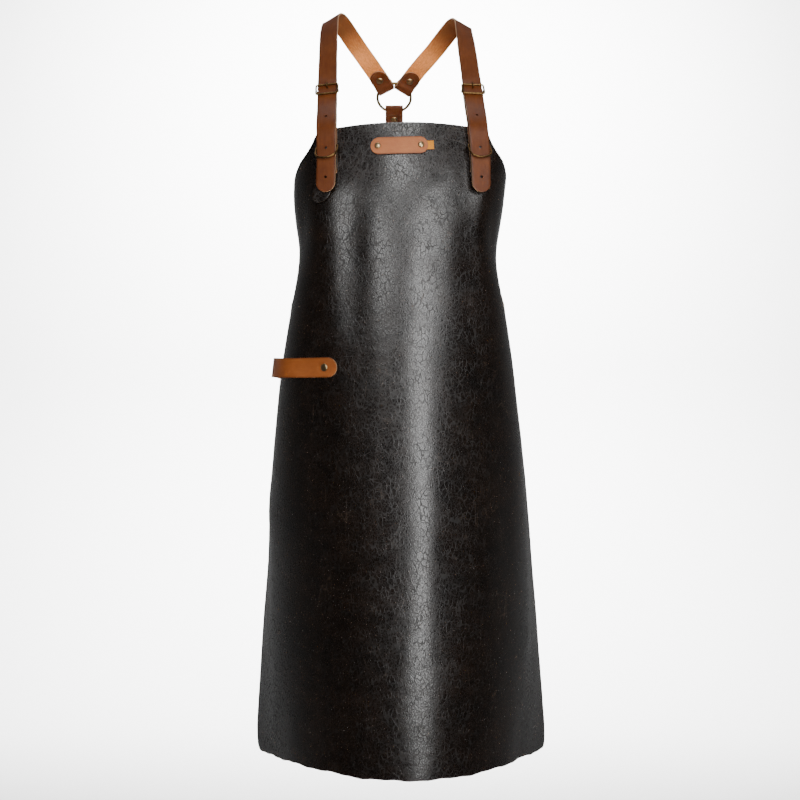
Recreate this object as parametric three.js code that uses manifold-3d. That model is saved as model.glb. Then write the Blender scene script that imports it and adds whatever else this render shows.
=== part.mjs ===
// A leather work apron with crossed shoulder straps, as it hangs on a wearer.
// Millimetres, +Z up. The origin lies midway between the two straps, on top of the shoulders.
// The apron faces -Y, and the viewer's left is -X.

import * as THREE from 'three';
import { mergeVertices } from 'three/addons/utils/BufferGeometryUtils.js';
import Module from 'manifold-3d';

const wasm = await Module();
wasm.setup();

// Gap between two pieces that lie against each other
const clearance = 0.3;
// Gap between the bib and the first strip in front of it
const seatRoom = 0.5;
// Side room of a strap inside a buckle or dee ring
const passRoom = 0.7;

// The panel as it is cut flat
const panelHeight = 845;
const panelHalfWidth = 308;
const panelThickness = 2;
const bibHalfWidth = 106;
const bibArch = 7;
const armholeDepth = 212;
const hemCornerWidth = 20;
const hemCornerHeight = 42;
const hemWave = 5;

// How the panel hangs
const frontReach = 120;
const bibLean = 22;
const bibTilt = 0.6;
const panelSway = 5;
const dentDepth = 5;

// The body space between the panel's front and the ring on the back
const bodyDepth = 230;
const strapRise = 164;

// Shoulder straps
const strapWidth = 25.4;
const strapThickness = 2.4;
const strapSpacing = 96;
const leftStrapSeat = 97.5;
const rightStrapSeat = 96.5;
const strapTipDrop = 92;
const leftStrapDrift = 5;
const rightStrapDrift = 9.5;
const holeRadius = 1.9;
const firstHoleFromTip = 19.5;
const prongHoleFromTip = 138;

// Ring on the back and the folds that hold it
const ringRadius = 24;
const ringWire = 3.4;
const ringSway = -8.4;
const ringDrop = 87;
const ringTilt = 45;
const foldTabLength = 33;
const foldOffset = 2.5;
const leftFoldAngle = 30.5;
const rightFoldAngle = -34.5;

// Buckles, dee rings and the pieces behind the free ends
const hardwareWire = 2.2;
const prongWire = 1.8;
const buckleDrop = 114.5;
const buckleHeight = 17.4;
const buckleStrapThickness = 1.8;
const buckleStrapDrop = 66;
const deeTabThickness = 1.2;
const deeTabWidth = 25;
const deeTabLength = 73;
const deeTabBackLeg = 30;
const deeTabSlant = 11;
const deeBarDrop = 31;
const deeSide = 10.5;
const deeArc = 11;
const deeTilt = 30;

// Straps behind the wearer
const waistStrapDrop = 226;
const waistBulge = 18;
const waistRound = 12;
const backBulge = 12;

// Rivets
const rivetHeadRadius = 4.9;
const rivetHeadHeight = 1.8;
const rivetShankRadius = 1.5;
const rivetCapHeight = 1;
const rivetSlack = 0.5;

// Name patch and the label under its right end
const patchLength = 74;
const patchHeight = 22.6;
const patchThickness = 2.2;
const patchDrop = 31.5;
const patchShift = -3;
const patchTilt = 0.8;
const patchRivetSpacing = 55.6;
const patchRivetRadius = 4;
const labelLength = 24;
const labelShow = 8.4;
const labelHeight = 11.4;
const labelThickness = 0.8;

// Towel loop on the viewer's left hip
const loopHeight = 25.6;
const loopThickness = 2.2;
const loopDrop = 317;
const loopTipSeat = 79;
const loopRearSeat = 262;
const loopStandOff = 9.5;
const loopTailLength = 17;

const DEGREE = Math.PI / 180;
const roundEnds = { roundStart: true, roundEnd: true };
const wireSides = 8;
const roundSides = 9;

// Horizontal sections of the hanging panel, from the bib's top edge to the hem.
// level is a share of panelHeight. frontEnd and turnEnd are shares of panelHalfWidth, where the flat
// front ends and where the turn to the side ends. The angles are the headings there and at the edge.
const panelSections = [
  { level: 0.00, frontEnd: 0.35, turnEnd: 0.54, front: 16, turn: 82, edge: 88 },
  { level: 0.06, frontEnd: 0.35, turnEnd: 0.54, front: 17, turn: 82, edge: 88 },
  { level: 0.11, frontEnd: 0.35, turnEnd: 0.53, front: 19, turn: 84, edge: 88 },
  { level: 0.20, frontEnd: 0.35, turnEnd: 0.50, front: 25.5, turn: 84, edge: 92 },
  { level: 0.30, frontEnd: 0.39, turnEnd: 0.57, front: 29, turn: 84, edge: 92 },
  { level: 0.42, frontEnd: 0.46, turnEnd: 0.65, front: 38, turn: 83, edge: 90 },
  { level: 0.60, frontEnd: 0.55, turnEnd: 0.74, front: 49.5, turn: 81, edge: 85 },
  { level: 0.70, frontEnd: 0.58, turnEnd: 0.76, front: 54.5, turn: 78, edge: 82 },
  { level: 0.80, frontEnd: 0.60, turnEnd: 0.77, front: 57, turn: 74, edge: 78 },
  { level: 1.00, frontEnd: 0.60, turnEnd: 0.78, front: 61.5, turn: 64, edge: 65 },
];

// How far back, sideways and askew the sections hang. lean is a share of bibLean, sway of panelSway and
// tilt of bibTilt.
const panelHang = [
  { level: 0.00, lean: 1.00, sway: 0.6, tilt: 1 },
  { level: 0.06, lean: 0.62, sway: 0.3, tilt: 1 },
  { level: 0.11, lean: 0.36, sway: -0.3, tilt: 0.7 },
  { level: 0.20, lean: 0.10, sway: -0.6, tilt: 0.3 },
  { level: 0.30, lean: 0.00, sway: -0.6, tilt: 0 },
  { level: 0.42, lean: 0.00, sway: -0.7, tilt: 0 },
  { level: 0.60, lean: 0.00, sway: -0.3, tilt: 0 },
  { level: 0.70, lean: 0.00, sway: 0.0, tilt: 0 },
  { level: 0.80, lean: 0.00, sway: 0.0, tilt: 0 },
  { level: 1.00, lean: 0.00, sway: 0.3, tilt: 0 },
];

// Side edge of the bib, from its top corner down to the side corner.
// down is a share of armholeDepth, and out runs from the bib's half width to the panel's.
const armholeEdge = [
  { down: 0.000, out: -0.035 },
  { down: 0.008, out: 0.005 },
  { down: 0.025, out: 0.030 },
  { down: 0.055, out: 0.048 },
  { down: 0.100, out: 0.066 },
  { down: 0.165, out: 0.110 },
  { down: 0.217, out: 0.168 },
  { down: 0.270, out: 0.228 },
  { down: 0.330, out: 0.297 },
  { down: 0.470, out: 0.450 },
  { down: 0.660, out: 0.662 },
  { down: 0.850, out: 0.874 },
  { down: 0.950, out: 0.972 },
  { down: 1.000, out: 1.000 },
];

// Soft dents and ridges of the hanging leather. across is a share of panelHalfWidth, level and tall
// are shares of panelHeight, wide of panelHalfWidth, and deep of dentDepth, outward where positive.
const panelDents = [
  { across: -0.30, level: 0.20, wide: 0.07, tall: 0.16, deep: 0.45 },
  { across: -0.18, level: 0.22, wide: 0.07, tall: 0.18, deep: -0.40 },
  { across: 0.31, level: 0.19, wide: 0.07, tall: 0.12, deep: -0.35 },
  { across: -0.44, level: 0.15, wide: 0.06, tall: 0.05, deep: -0.70 },
  { across: 0.44, level: 0.16, wide: 0.06, tall: 0.05, deep: -0.70 },
  { across: 0.10, level: 0.55, wide: 0.10, tall: 0.30, deep: 0.30 },
  { across: -0.34, level: 0.66, wide: 0.12, tall: 0.22, deep: -0.30 },
  { across: 0.40, level: 0.72, wide: 0.10, tall: 0.20, deep: 0.30 },
  { across: -0.80, level: 0.60, wide: 0.10, tall: 0.06, deep: 0.60 },
];

// Shoulder straps above the bib, from the buckle to the lead into the ring. deep is a share of
// bodyDepth behind the panel's front, the drops are shares of strapRise, the spreads of strapSpacing.
const strapRows = [
  { deep: 0.26, leftDrop: 0.698, rightDrop: 0.698, leftSpread: 1.000, rightSpread: 1.000 },
  { deep: 0.37, leftDrop: 0.350, rightDrop: 0.375, leftSpread: 1.000, rightSpread: 0.943 },
  { deep: 0.47, leftDrop: 0.115, rightDrop: 0.155, leftSpread: 0.995, rightSpread: 0.906 },
  { deep: 0.56, leftDrop: 0.010, rightDrop: 0.050, leftSpread: 0.975, rightSpread: 0.885 },
  { deep: 0.67, leftDrop: -0.012, rightDrop: 0.032, leftSpread: 0.880, rightSpread: 0.780 },
  { deep: 0.77, leftDrop: 0.175, rightDrop: 0.205, leftSpread: 0.617, rightSpread: 0.497 },
];

// Direction across a shoulder strap towards the neck, by the same depths
const strapTurns = [
  { deep: 0.26, inX: 0.98, inY: -0.16, inZ: 0.04 },
  { deep: 0.37, inX: 0.95, inY: -0.26, inZ: 0.12 },
  { deep: 0.47, inX: 0.91, inY: -0.28, inZ: 0.30 },
  { deep: 0.56, inX: 0.87, inY: -0.20, inZ: 0.46 },
  { deep: 0.67, inX: 0.85, inY: -0.16, inZ: 0.50 },
  { deep: 0.77, inX: 0.86, inY: -0.29, inZ: 0.42 },
];

// Back strap between the ring and the waist strap. fall is a share of the height between them, bulge of
// backBulge, and settled says how far it has come in to the waist strap's depth.
const backRows = [
  { fall: 0.08, bulge: 0.55, settled: 0 },
  { fall: 0.22, bulge: 1.00, settled: 0.03 },
  { fall: 0.45, bulge: 0.95, settled: 0.25 },
  { fall: 0.72, bulge: 0.50, settled: 0.80 },
];

// Waves of the raw hem. across is a share of panelHalfWidth, and rise of hemWave.
const hemWaves = [
  { across: -1.00, rise: -1.50 },
  { across: -0.85, rise: -1.10 },
  { across: -0.68, rise: -0.10 },
  { across: -0.50, rise: 0.80 },
  { across: -0.32, rise: 0.80 },
  { across: -0.10, rise: 0.10 },
  { across: 0.18, rise: 0.00 },
  { across: 0.45, rise: 0.40 },
  { across: 0.70, rise: 0.10 },
  { across: 0.85, rise: -0.80 },
  { across: 1.00, rise: -1.30 },
];

const leftSide = {
  sign: -1,
  seat: leftStrapSeat,
  drift: leftStrapDrift,
  spread: 'leftSpread',
  drop: 'leftDrop',
  foldAngle: leftFoldAngle,
  slant: deeTabSlant,
  tabShare: 1,
};
const rightSide = {
  sign: 1,
  seat: rightStrapSeat,
  drift: rightStrapDrift,
  spread: 'rightSpread',
  drop: 'rightDrop',
  foldAngle: rightFoldAngle,
  slant: 0,
  tabShare: 0.7,
};

const panelLeather = { color: 0x2a211b, roughness: 0.38, metalness: 0 };
const strapLeather = { color: 0x7a4427, roughness: 0.6, metalness: 0 };
const patchLeather = { color: 0x99553a, roughness: 0.55, metalness: 0 };
const labelCloth = { color: 0xe8912e, roughness: 0.9, metalness: 0 };
const brass = { color: 0xb39a68, roughness: 0.35, metalness: 1 };
const bronze = { color: 0x6f5a38, roughness: 0.35, metalness: 1 };

function vector(x, y, z) {
  return new THREE.Vector3(x, y, z);
}

// Smooth value of a column between the rows of a table
function columnAt(table, keyColumn, column, place) {
  const last = table.length - 1;
  if (place <= table[0][keyColumn]) {
    return table[0][column];
  }
  if (place >= table[last][keyColumn]) {
    return table[last][column];
  }
  let index = 0;
  while (table[index + 1][keyColumn] < place) {
    index += 1;
  }
  const slope = (from, to) => {
    const run = table[to][keyColumn] - table[from][keyColumn];
    return (table[to][column] - table[from][column]) / run;
  };
  const step = table[index + 1][keyColumn] - table[index][keyColumn];
  const startSlope = slope(Math.max(index - 1, 0), index + 1);
  const endSlope = slope(index, Math.min(index + 2, last));
  const share = (place - table[index][keyColumn]) / step;
  const square = share * share;
  const cube = square * share;
  const start = table[index][column] * (2 * cube - 3 * square + 1);
  const end = table[index + 1][column] * (3 * square - 2 * cube);
  return start + end + step * (startSlope * (cube - 2 * square + share) + endSlope * (cube - square));
}

// Point reached along a section made of three arcs: the front, the turn and the side
function walkSection(level, distance) {
  const value = (column) => columnAt(panelSections, 'level', column, level);
  const frontLength = value('frontEnd') * panelHalfWidth;
  const turnLength = value('turnEnd') * panelHalfWidth - frontLength;
  const stretches = [
    { length: frontLength, until: value('front') * DEGREE },
    { length: turnLength, until: value('turn') * DEGREE },
    { length: panelHalfWidth - frontLength - turnLength, until: value('edge') * DEGREE },
  ];
  let heading = 0;
  let across = 0;
  let back = 0;
  let left = distance;
  for (const stretch of stretches) {
    const isLast = stretch === stretches[2];
    const run = isLast ? left : Math.min(left, stretch.length);
    const bend = (stretch.until - heading) * run / stretch.length;
    const radius = run / bend;
    if (run > 0) {
      across += radius * (Math.sin(heading + bend) - Math.sin(heading));
      back += radius * (Math.cos(heading) - Math.cos(heading + bend));
    }
    heading += bend;
    left -= run;
    if (left <= 0) {
      break;
    }
  }
  return { across, back, heading };
}

function dentAt(level, along) {
  let depth = 0;
  for (const dent of panelDents) {
    const sideways = (along / panelHalfWidth - dent.across) / dent.wide;
    const upright = (level - dent.level) / dent.tall;
    depth += dentDepth * dent.deep * Math.exp(-sideways * sideways - upright * upright);
  }
  return depth;
}

// Grain surface of the panel: along is the distance from its middle line, down from its top edge
function panelSurface(along, down) {
  const level = down / panelHeight;
  const side = along < 0 ? -1 : 1;
  const walk = walkSection(level, Math.abs(along));
  const dent = dentAt(level, along);
  const lean = columnAt(panelHang, 'level', 'lean', level) * bibLean;
  const sway = columnAt(panelHang, 'level', 'sway', level) * panelSway;
  const tilt = columnAt(panelHang, 'level', 'tilt', level) * bibTilt * DEGREE;
  const across = side * (walk.across + dent * Math.sin(walk.heading));
  const back = walk.back + lean - dent * Math.cos(walk.heading);
  return vector(across + sway, back - frontReach, across * Math.tan(tilt) - strapRise - down);
}

// Place on or above the panel's grain surface, with its directions
function onPanel(along, down, lift = 0) {
  const step = 0.5;
  const ahead = panelSurface(along + step, down);
  const behind = panelSurface(along - step, down);
  const lower = panelSurface(along, down + step);
  const upper = panelSurface(along, down - step);
  const across = ahead.sub(behind).normalize();
  const downward = lower.sub(upper).normalize();
  const face = across.clone().cross(downward).negate().normalize();
  const at = panelSurface(along, down).addScaledVector(face, lift);
  return { at, across, down: downward, face };
}

// Closed solid through rings of points, capped at its ends unless it joins up with itself
function loft(rings, closed = false) {
  const count = rings[0].length;
  const positions = rings.flat().flatMap((point) => point.toArray());
  const faces = [];
  const bands = closed ? rings.length : rings.length - 1;
  for (let band = 0; band < bands; band += 1) {
    const here = band * count;
    const next = ((band + 1) % rings.length) * count;
    for (let side = 0; side < count; side += 1) {
      const other = (side + 1) % count;
      faces.push(here + side, here + other, next + other);
      faces.push(here + side, next + other, next + side);
    }
  }
  if (!closed) {
    const end = (rings.length - 1) * count;
    for (let side = 1; side < count - 1; side += 1) {
      faces.push(0, side + 1, side);
      faces.push(end, end + side, end + side + 1);
    }
  }
  return outward(positions, faces);
}

// Geometry of a closed solid with its faces turned outward
function outward(positions, faces) {
  let volume = 0;
  const corner = (index) => vector(...positions.slice(index * 3, index * 3 + 3));
  for (let index = 0; index < faces.length; index += 3) {
    const first = corner(faces[index]);
    const second = corner(faces[index + 1]);
    const third = corner(faces[index + 2]);
    volume += first.dot(second.cross(third));
  }
  if (volume < 0) {
    faces.reverse();
  }
  const geometry = new THREE.BufferGeometry();
  geometry.setAttribute('position', new THREE.Float32BufferAttribute(positions, 3));
  geometry.setIndex(faces);
  return geometry;
}

function toSolid(geometry) {
  const bare = geometry.clone();
  bare.deleteAttribute('normal');
  bare.deleteAttribute('uv');
  const merged = mergeVertices(bare, 1e-3);
  return new wasm.Manifold(new wasm.Mesh({
    numProp: 3,
    vertProperties: new Float32Array(merged.attributes.position.array),
    triVerts: new Uint32Array(merged.index.array),
  }));
}

function toGeometry(solid) {
  const mesh = solid.getMesh();
  const geometry = new THREE.BufferGeometry();
  geometry.setAttribute('position', new THREE.BufferAttribute(mesh.vertProperties, 3));
  geometry.setIndex(new THREE.BufferAttribute(mesh.triVerts, 1));
  return geometry;
}

function cutAway(geometry, cutters) {
  const solid = cutters.reduce((rest, cutter) => rest.subtract(toSolid(cutter)), toSolid(geometry));
  return toGeometry(solid);
}

function joined(geometries) {
  const [first, ...others] = geometries.map(toSolid);
  return toGeometry(others.reduce((whole, other) => whole.add(other), first));
}

// Round bore through a piece, centred on a place and running along its face direction
function bore(place, radius, length) {
  const geometry = new THREE.CylinderGeometry(radius, radius, length, roundSides);
  const turn = new THREE.Quaternion().setFromUnitVectors(vector(0, 1, 0), place.face);
  geometry.applyQuaternion(turn);
  geometry.translate(place.at.x, place.at.y, place.at.z);
  return geometry;
}

// Rivet with a domed head whose underside lies at the place, and a flat cap at the shank's far end
function rivet(place, grip, headRadius = rivetHeadRadius) {
  const seat = clearance;
  const bottom = -grip - rivetSlack;
  const profile = [
    new THREE.Vector2(0, bottom - rivetCapHeight),
    new THREE.Vector2(headRadius * 0.8, bottom - rivetCapHeight),
    new THREE.Vector2(headRadius * 0.8, bottom),
    new THREE.Vector2(rivetShankRadius, bottom),
    new THREE.Vector2(rivetShankRadius, seat),
    new THREE.Vector2(headRadius, seat),
    new THREE.Vector2(headRadius * 0.75, seat + rivetHeadHeight * 0.75),
    new THREE.Vector2(0, seat + rivetHeadHeight),
  ];
  const geometry = new THREE.LatheGeometry(profile, roundSides);
  const turn = new THREE.Quaternion().setFromUnitVectors(vector(0, 1, 0), place.face);
  geometry.applyQuaternion(turn);
  geometry.translate(place.at.x, place.at.y, place.at.z);
  return geometry;
}

function rivetBore(place, grip) {
  return bore(place, rivetShankRadius + clearance, 2 * (grip + rivetHeadHeight) + 4);
}

// Route of a strip: a smooth line through keys, each a place with the direction across the strip.
// faceSign picks which side of the strip is its face.
class StripRoute {
  constructor(keys, faceSign) {
    const perKey = 40;
    const line = new THREE.CatmullRomCurve3(keys.map((key) => key.at), false, 'centripetal');
    const widths = new THREE.CatmullRomCurve3(keys.map((key) => key.across), false, 'centripetal');
    const count = (keys.length - 1) * perKey;
    this.samples = [];
    let length = 0;
    for (let index = 0; index <= count; index += 1) {
      const at = line.getPoint(index / count);
      const along = line.getTangent(index / count);
      const across = widths.getPoint(index / count);
      across.addScaledVector(along, -across.dot(along)).normalize();
      const face = across.clone().cross(along).multiplyScalar(faceSign);
      if (index > 0) {
        length += at.distanceTo(this.samples[index - 1].at);
      }
      this.samples.push({ at, along, across, face, length });
    }
    this.length = length;
  }

  // Place on the route at a length along it, lifted towards the face
  place(length, lift = 0) {
    const samples = this.samples;
    const last = samples.length - 1;
    let index = samples.findIndex((sample) => sample.length > length);
    index = index < 0 ? last : Math.max(index, 1);
    const before = samples[index - 1];
    const after = samples[index];
    const share = (length - before.length) / (after.length - before.length);
    const mix = (name) => before[name].clone().lerp(after[name], share);
    const face = mix('face').normalize();
    const at = mix('at').addScaledVector(face, lift);
    return { at, along: mix('along').normalize(), across: mix('across').normalize(), face };
  }

  // Lengths where the strip needs a section: where it has turned enough, and at least every stride
  stations(from, to, stride, turnLimit = 18) {
    const lengths = [from];
    let turned = 0;
    let lastLength = from;
    for (let index = 1; index < this.samples.length; index += 1) {
      const here = this.samples[index];
      const before = this.samples[index - 1];
      if (here.length <= from || here.length >= to) {
        continue;
      }
      turned += here.along.angleTo(before.along) / DEGREE;
      turned += here.across.angleTo(before.across) / DEGREE;
      if (turned > turnLimit || here.length - lastLength > stride) {
        lengths.push(here.length);
        lastLength = here.length;
        turned = 0;
      }
    }
    lengths.push(to);
    return lengths;
  }
}

// Flat strip along a route from one length to another, with round or square ends
function strip(route, from, to, width, thickness, options = {}) {
  const { roundStart = false, roundEnd = false, stride = 32, lean = () => 0 } = options;
  const half = width / 2;
  const tipAngles = [12, 34, 56, 76];
  const innerFrom = roundStart ? from + half : from;
  const innerTo = roundEnd ? to - half : to;
  const stations = route.stations(innerFrom, innerTo, stride).map((length) => ({ length, half }));
  const minimumStep = 0.4;
  const kept = stations.filter((station, index) => {
    const next = stations[index + 1];
    return index === 0 || next === undefined || next.length - station.length > minimumStep;
  });
  for (const angle of tipAngles) {
    const tipHalf = half * Math.sin(angle * DEGREE);
    const reach = half * (1 - Math.cos(angle * DEGREE));
    if (roundStart) {
      kept.push({ length: from + reach, half: tipHalf });
    }
    if (roundEnd) {
      kept.push({ length: to - reach, half: tipHalf });
    }
  }
  kept.sort((one, other) => one.length - other.length);
  const rings = kept.map((station) => {
    const place = route.place(station.length);
    const shift = lean(station.length);
    const corner = (side, level) => place.at.clone()
      .addScaledVector(place.across, side * station.half + shift)
      .addScaledVector(place.face, level * thickness / 2);
    return [corner(-1, -1), corner(1, -1), corner(1, 1), corner(-1, 1)];
  });
  return loft(rings);
}

// Round wire along a list of places in a local frame
function wire(points, diameter, closed, sides = wireSides) {
  const count = points.length;
  const rings = points.map((point, index) => {
    const before = points[closed ? (index + count - 1) % count : Math.max(index - 1, 0)];
    const after = points[closed ? (index + 1) % count : Math.min(index + 1, count - 1)];
    const along = after.clone().sub(before).normalize();
    return { point, along };
  });
  let side = vector(0, 0, 1).cross(rings[0].along);
  if (side.length() < 0.1) {
    side = vector(0, 1, 0).cross(rings[0].along);
  }
  const sections = rings.map((ring) => {
    side = side.clone().addScaledVector(ring.along, -side.dot(ring.along)).normalize();
    const up = ring.along.clone().cross(side);
    return Array.from({ length: sides }, (_, index) => {
      const angle = index * 2 * Math.PI / sides;
      return ring.point.clone()
        .addScaledVector(side, Math.cos(angle) * diameter / 2)
        .addScaledVector(up, Math.sin(angle) * diameter / 2);
    });
  });
  return loft(sections, closed);
}

// Arc of places in a local plane, from one angle to another, in degrees
function arc(centreX, centreY, radiusX, radiusY, from, to, steps) {
  return Array.from({ length: steps + 1 }, (_, index) => {
    const angle = (from + (to - from) * index / steps) * DEGREE;
    return vector(centreX + radiusX * Math.cos(angle), centreY + radiusY * Math.sin(angle), 0);
  });
}

// Moves a shape from local axes, X across, Y up along and Z out of the face, to a place
function settle(geometry, place) {
  const across = place.across.clone();
  const up = place.face.clone().cross(across).normalize();
  const matrix = new THREE.Matrix4().makeBasis(across, up, place.face);
  matrix.setPosition(place.at);
  geometry.applyMatrix4(matrix);
  return geometry;
}

// Layers in front of the panel at a dee ring, from the grain surface outwards
const buckleStrapLift = seatRoom + buckleStrapThickness / 2;
const tabBackLift = seatRoom + buckleStrapThickness + clearance + deeTabThickness / 2;
const deeBarLift = tabBackLift + deeTabThickness / 2 + clearance + hardwareWire / 2;
const tabFoldRadius = deeBarLift - tabBackLift;
const tabFrontLift = deeBarLift + tabFoldRadius;
const freeEndLift = tabFrontLift + deeTabThickness / 2 + clearance + strapThickness / 2;

// Place on the bib on the middle line of a strap's free end, which drifts sideways on its way down
function seatPlace(side, down, lift) {
  const step = 4;
  const along = (depth) => side.sign * side.seat + side.drift * depth / strapTipDrop;
  const place = onPanel(along(down), down, lift);
  const upper = onPanel(along(down - step), down - step, lift).at;
  const lower = onPanel(along(down + step), down + step, lift).at;
  const line = lower.sub(upper).normalize();
  place.across.addScaledVector(line, -place.across.dot(line)).normalize();
  place.face = place.across.clone().cross(line).negate().normalize();
  return place;
}

// Key of a route over the bib, with the direction across it that points towards the neck
function seatKey(side, down, lift) {
  const place = seatPlace(side, down, lift);
  return { at: place.at, across: place.across.multiplyScalar(-side.sign) };
}

// Fold round the ring: the strip comes down behind the wire and its tab rises in front of it.
// angle is measured in the ring's plane from its top, positive towards the viewer's left.
const foldGap = ringWire + 2 * clearance;
const foldRadius = (foldGap + strapThickness) / 2;
const farEdge = strapWidth / 2 + foldOffset;
const obliqueRoom = 0.9;
const foldCentre = Math.sqrt(ringRadius ** 2 - farEdge ** 2) - obliqueRoom;
const closedHalf = (strapThickness + clearance) / 2;
const foldLead = foldCentre + foldTabLength + 6;
const foldRamp = 2.8;
const foldRivetReach = ringRadius + ringWire / 2 + foldRamp + rivetHeadRadius + 2.5;
const ringCentre = vector(ringSway, bodyDepth - frontReach, -ringDrop);

const ringUp = vector(0, -Math.sin(ringTilt * DEGREE), Math.cos(ringTilt * DEGREE));
const ringFace = vector(0, -Math.cos(ringTilt * DEGREE), -Math.sin(ringTilt * DEGREE));

// Direction away from the ring's centre in its plane, and the one across it on its upper side
function foldAxes(angle) {
  const turn = angle * DEGREE;
  const away = vector(-Math.sin(turn), 0, 0).addScaledVector(ringUp, Math.cos(turn));
  const across = vector(Math.cos(turn), 0, 0).addScaledVector(ringUp, Math.sin(turn));
  return { away, across };
}

// Place in the ring's plane on a fold's middle line, which passes beside the ring's centre
function foldSpot(angle, reach, deep) {
  const { away, across } = foldAxes(angle);
  const offset = -foldOffset * Math.sign(Math.sin(angle * DEGREE)) * (Math.abs(angle) < 90 ? 1 : 0);
  return ringCentre.clone()
    .addScaledVector(away, reach)
    .addScaledVector(across, offset)
    .addScaledVector(ringFace, -deep);
}

function foldKeys(angle, across, leadLength) {
  const spot = (reach, deep) => ({ at: foldSpot(angle, reach, deep), across });
  const wireEdge = ringRadius + ringWire / 2;
  const tabEnd = foldCentre + foldTabLength;
  const keys = [];
  for (const reach of [leadLength, leadLength - 6, wireEdge + 8, wireEdge + foldRamp]) {
    keys.push(spot(reach, closedHalf));
  }
  keys.push(spot(wireEdge - 0.4, foldRadius));
  keys.push(spot(foldCentre + 2, foldRadius));
  for (const turn of [0, 45, 90, 135, 180]) {
    const reach = foldCentre - foldRadius * Math.sin(turn * DEGREE);
    keys.push(spot(reach, foldRadius * Math.cos(turn * DEGREE)));
  }
  keys.push(spot(foldCentre + 2, -foldRadius));
  keys.push(spot(wireEdge - 0.4, -foldRadius));
  for (const reach of [wireEdge + foldRamp, wireEdge + 8, tabEnd - 5, tabEnd]) {
    keys.push(spot(reach, -closedHalf));
  }
  return keys;
}

function foldRivetPlace(angle) {
  const at = foldSpot(angle, foldRivetReach, -closedHalf - strapThickness / 2);
  return { at, face: ringFace.clone() };
}

// Whole route of a shoulder strap, from its round tip on the bib to the tab on the ring
function shoulderRoute(side) {
  const keys = [];
  for (const share of [1, 0.8, 0.55, 0.3, 0.06]) {
    keys.push(seatKey(side, strapTipDrop * share, freeEndLift));
  }
  const rowKeys = strapRows.map((row, index) => {
    const turn = strapTurns[index];
    const at = vector(
      side.sign * row[side.spread] * strapSpacing,
      row.deep * bodyDepth - frontReach,
      -row[side.drop] * strapRise,
    );
    return { at, across: vector(-side.sign * turn.inX, turn.inY, turn.inZ) };
  });
  const [buckleKey, ...upperKeys] = rowKeys;
  const lowest = keys[keys.length - 1].at;
  const climb = upperKeys[0].at.clone().sub(lowest).normalize();
  for (const step of [-1.3, -0.65, 0, 0.65, 1.2]) {
    const at = buckleKey.at.clone().addScaledVector(climb, step * buckleHeight);
    keys.push({ at, across: buckleKey.across });
  }
  keys.push(...upperKeys);
  const across = foldAxes(side.foldAngle).across.multiplyScalar(-side.sign);
  keys.push(...foldKeys(side.foldAngle, across, foldLead));
  return new StripRoute(keys, -side.sign);
}

// Length along a shoulder strap where it is at the buckle's height
function buckleLength(route) {
  const sample = route.samples.find((spot) => spot.at.z > -buckleDrop);
  return sample.length;
}

const parts = new THREE.Group();

function addPiece(name, geometry, finish) {
  const mesh = new THREE.Mesh(geometry, new THREE.MeshStandardMaterial(finish));
  mesh.name = name;
  parts.add(mesh);
}

// Half width of the flat panel at a distance below its top edge
function edgeAt(down) {
  const cornerStart = panelHeight - hemCornerHeight;
  if (down > cornerStart) {
    const squareness = 2.6;
    const into = Math.min((down - cornerStart) / hemCornerHeight, 1) ** squareness;
    return panelHalfWidth - hemCornerWidth + hemCornerWidth * (1 - into) ** (1 / squareness);
  }
  const out = columnAt(armholeEdge, 'down', 'out', down / armholeDepth);
  return bibHalfWidth + out * (panelHalfWidth - bibHalfWidth);
}

// Distances of the panel's rows below its top edge, closer where the outline curves
function panelRows() {
  const rows = armholeEdge.map((row) => row.down * armholeDepth);
  const plainRows = 12;
  const cornerStart = panelHeight - hemCornerHeight;
  for (let row = 1; row <= plainRows; row += 1) {
    rows.push(armholeDepth + (cornerStart - armholeDepth) * row / plainRows);
  }
  for (const angle of [30, 50, 68, 81]) {
    rows.push(cornerStart + hemCornerHeight * Math.sin(angle * DEGREE));
  }
  rows.push(panelHeight);
  return rows;
}

// Distance below the straight top edge of a place on the panel, with the bib's arch and the hem's waves
function wavyDown(along, row) {
  const archShare = Math.min(Math.abs(along) / bibHalfWidth, 1) ** 2;
  const archFade = Math.max(1 - row / (8 * bibArch), 0) ** 2;
  const waveReach = 16 * hemWave;
  const waveFade = Math.max(1 - (panelHeight - row) / waveReach, 0) ** 2;
  const wave = columnAt(hemWaves, 'across', 'rise', along / panelHalfWidth) * hemWave;
  return row + bibArch * archShare * archFade - wave * waveFade;
}

function panelShell() {
  const rows = panelRows();
  const columns = 26;
  const grain = [];
  const flesh = [];
  for (const row of rows) {
    const edge = edgeAt(row);
    for (let column = 0; column <= columns; column += 1) {
      const along = edge * (2 * column / columns - 1);
      const place = onPanel(along, wavyDown(along, row));
      grain.push(place.at);
      flesh.push(place.at.clone().addScaledVector(place.face, -panelThickness));
    }
  }
  const wide = columns + 1;
  const offset = grain.length;
  const faces = [];
  const quad = (first, second, third, fourth) => {
    faces.push(first, second, third);
    faces.push(first, third, fourth);
  };
  for (let row = 0; row < rows.length - 1; row += 1) {
    for (let column = 0; column < columns; column += 1) {
      const corner = row * wide + column;
      quad(corner, corner + wide, corner + wide + 1, corner + 1);
      quad(offset + corner, offset + corner + 1, offset + corner + wide + 1, offset + corner + wide);
    }
    const left = row * wide;
    const right = left + columns;
    quad(left, offset + left, offset + left + wide, left + wide);
    quad(right, right + wide, offset + right + wide, offset + right);
  }
  const bottom = (rows.length - 1) * wide;
  for (let column = 0; column < columns; column += 1) {
    quad(column, column + 1, offset + column + 1, offset + column);
    const low = bottom + column;
    quad(low, offset + low, offset + low + 1, low + 1);
  }
  return outward([...grain, ...flesh].flatMap((point) => point.toArray()), faces);
}

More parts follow.
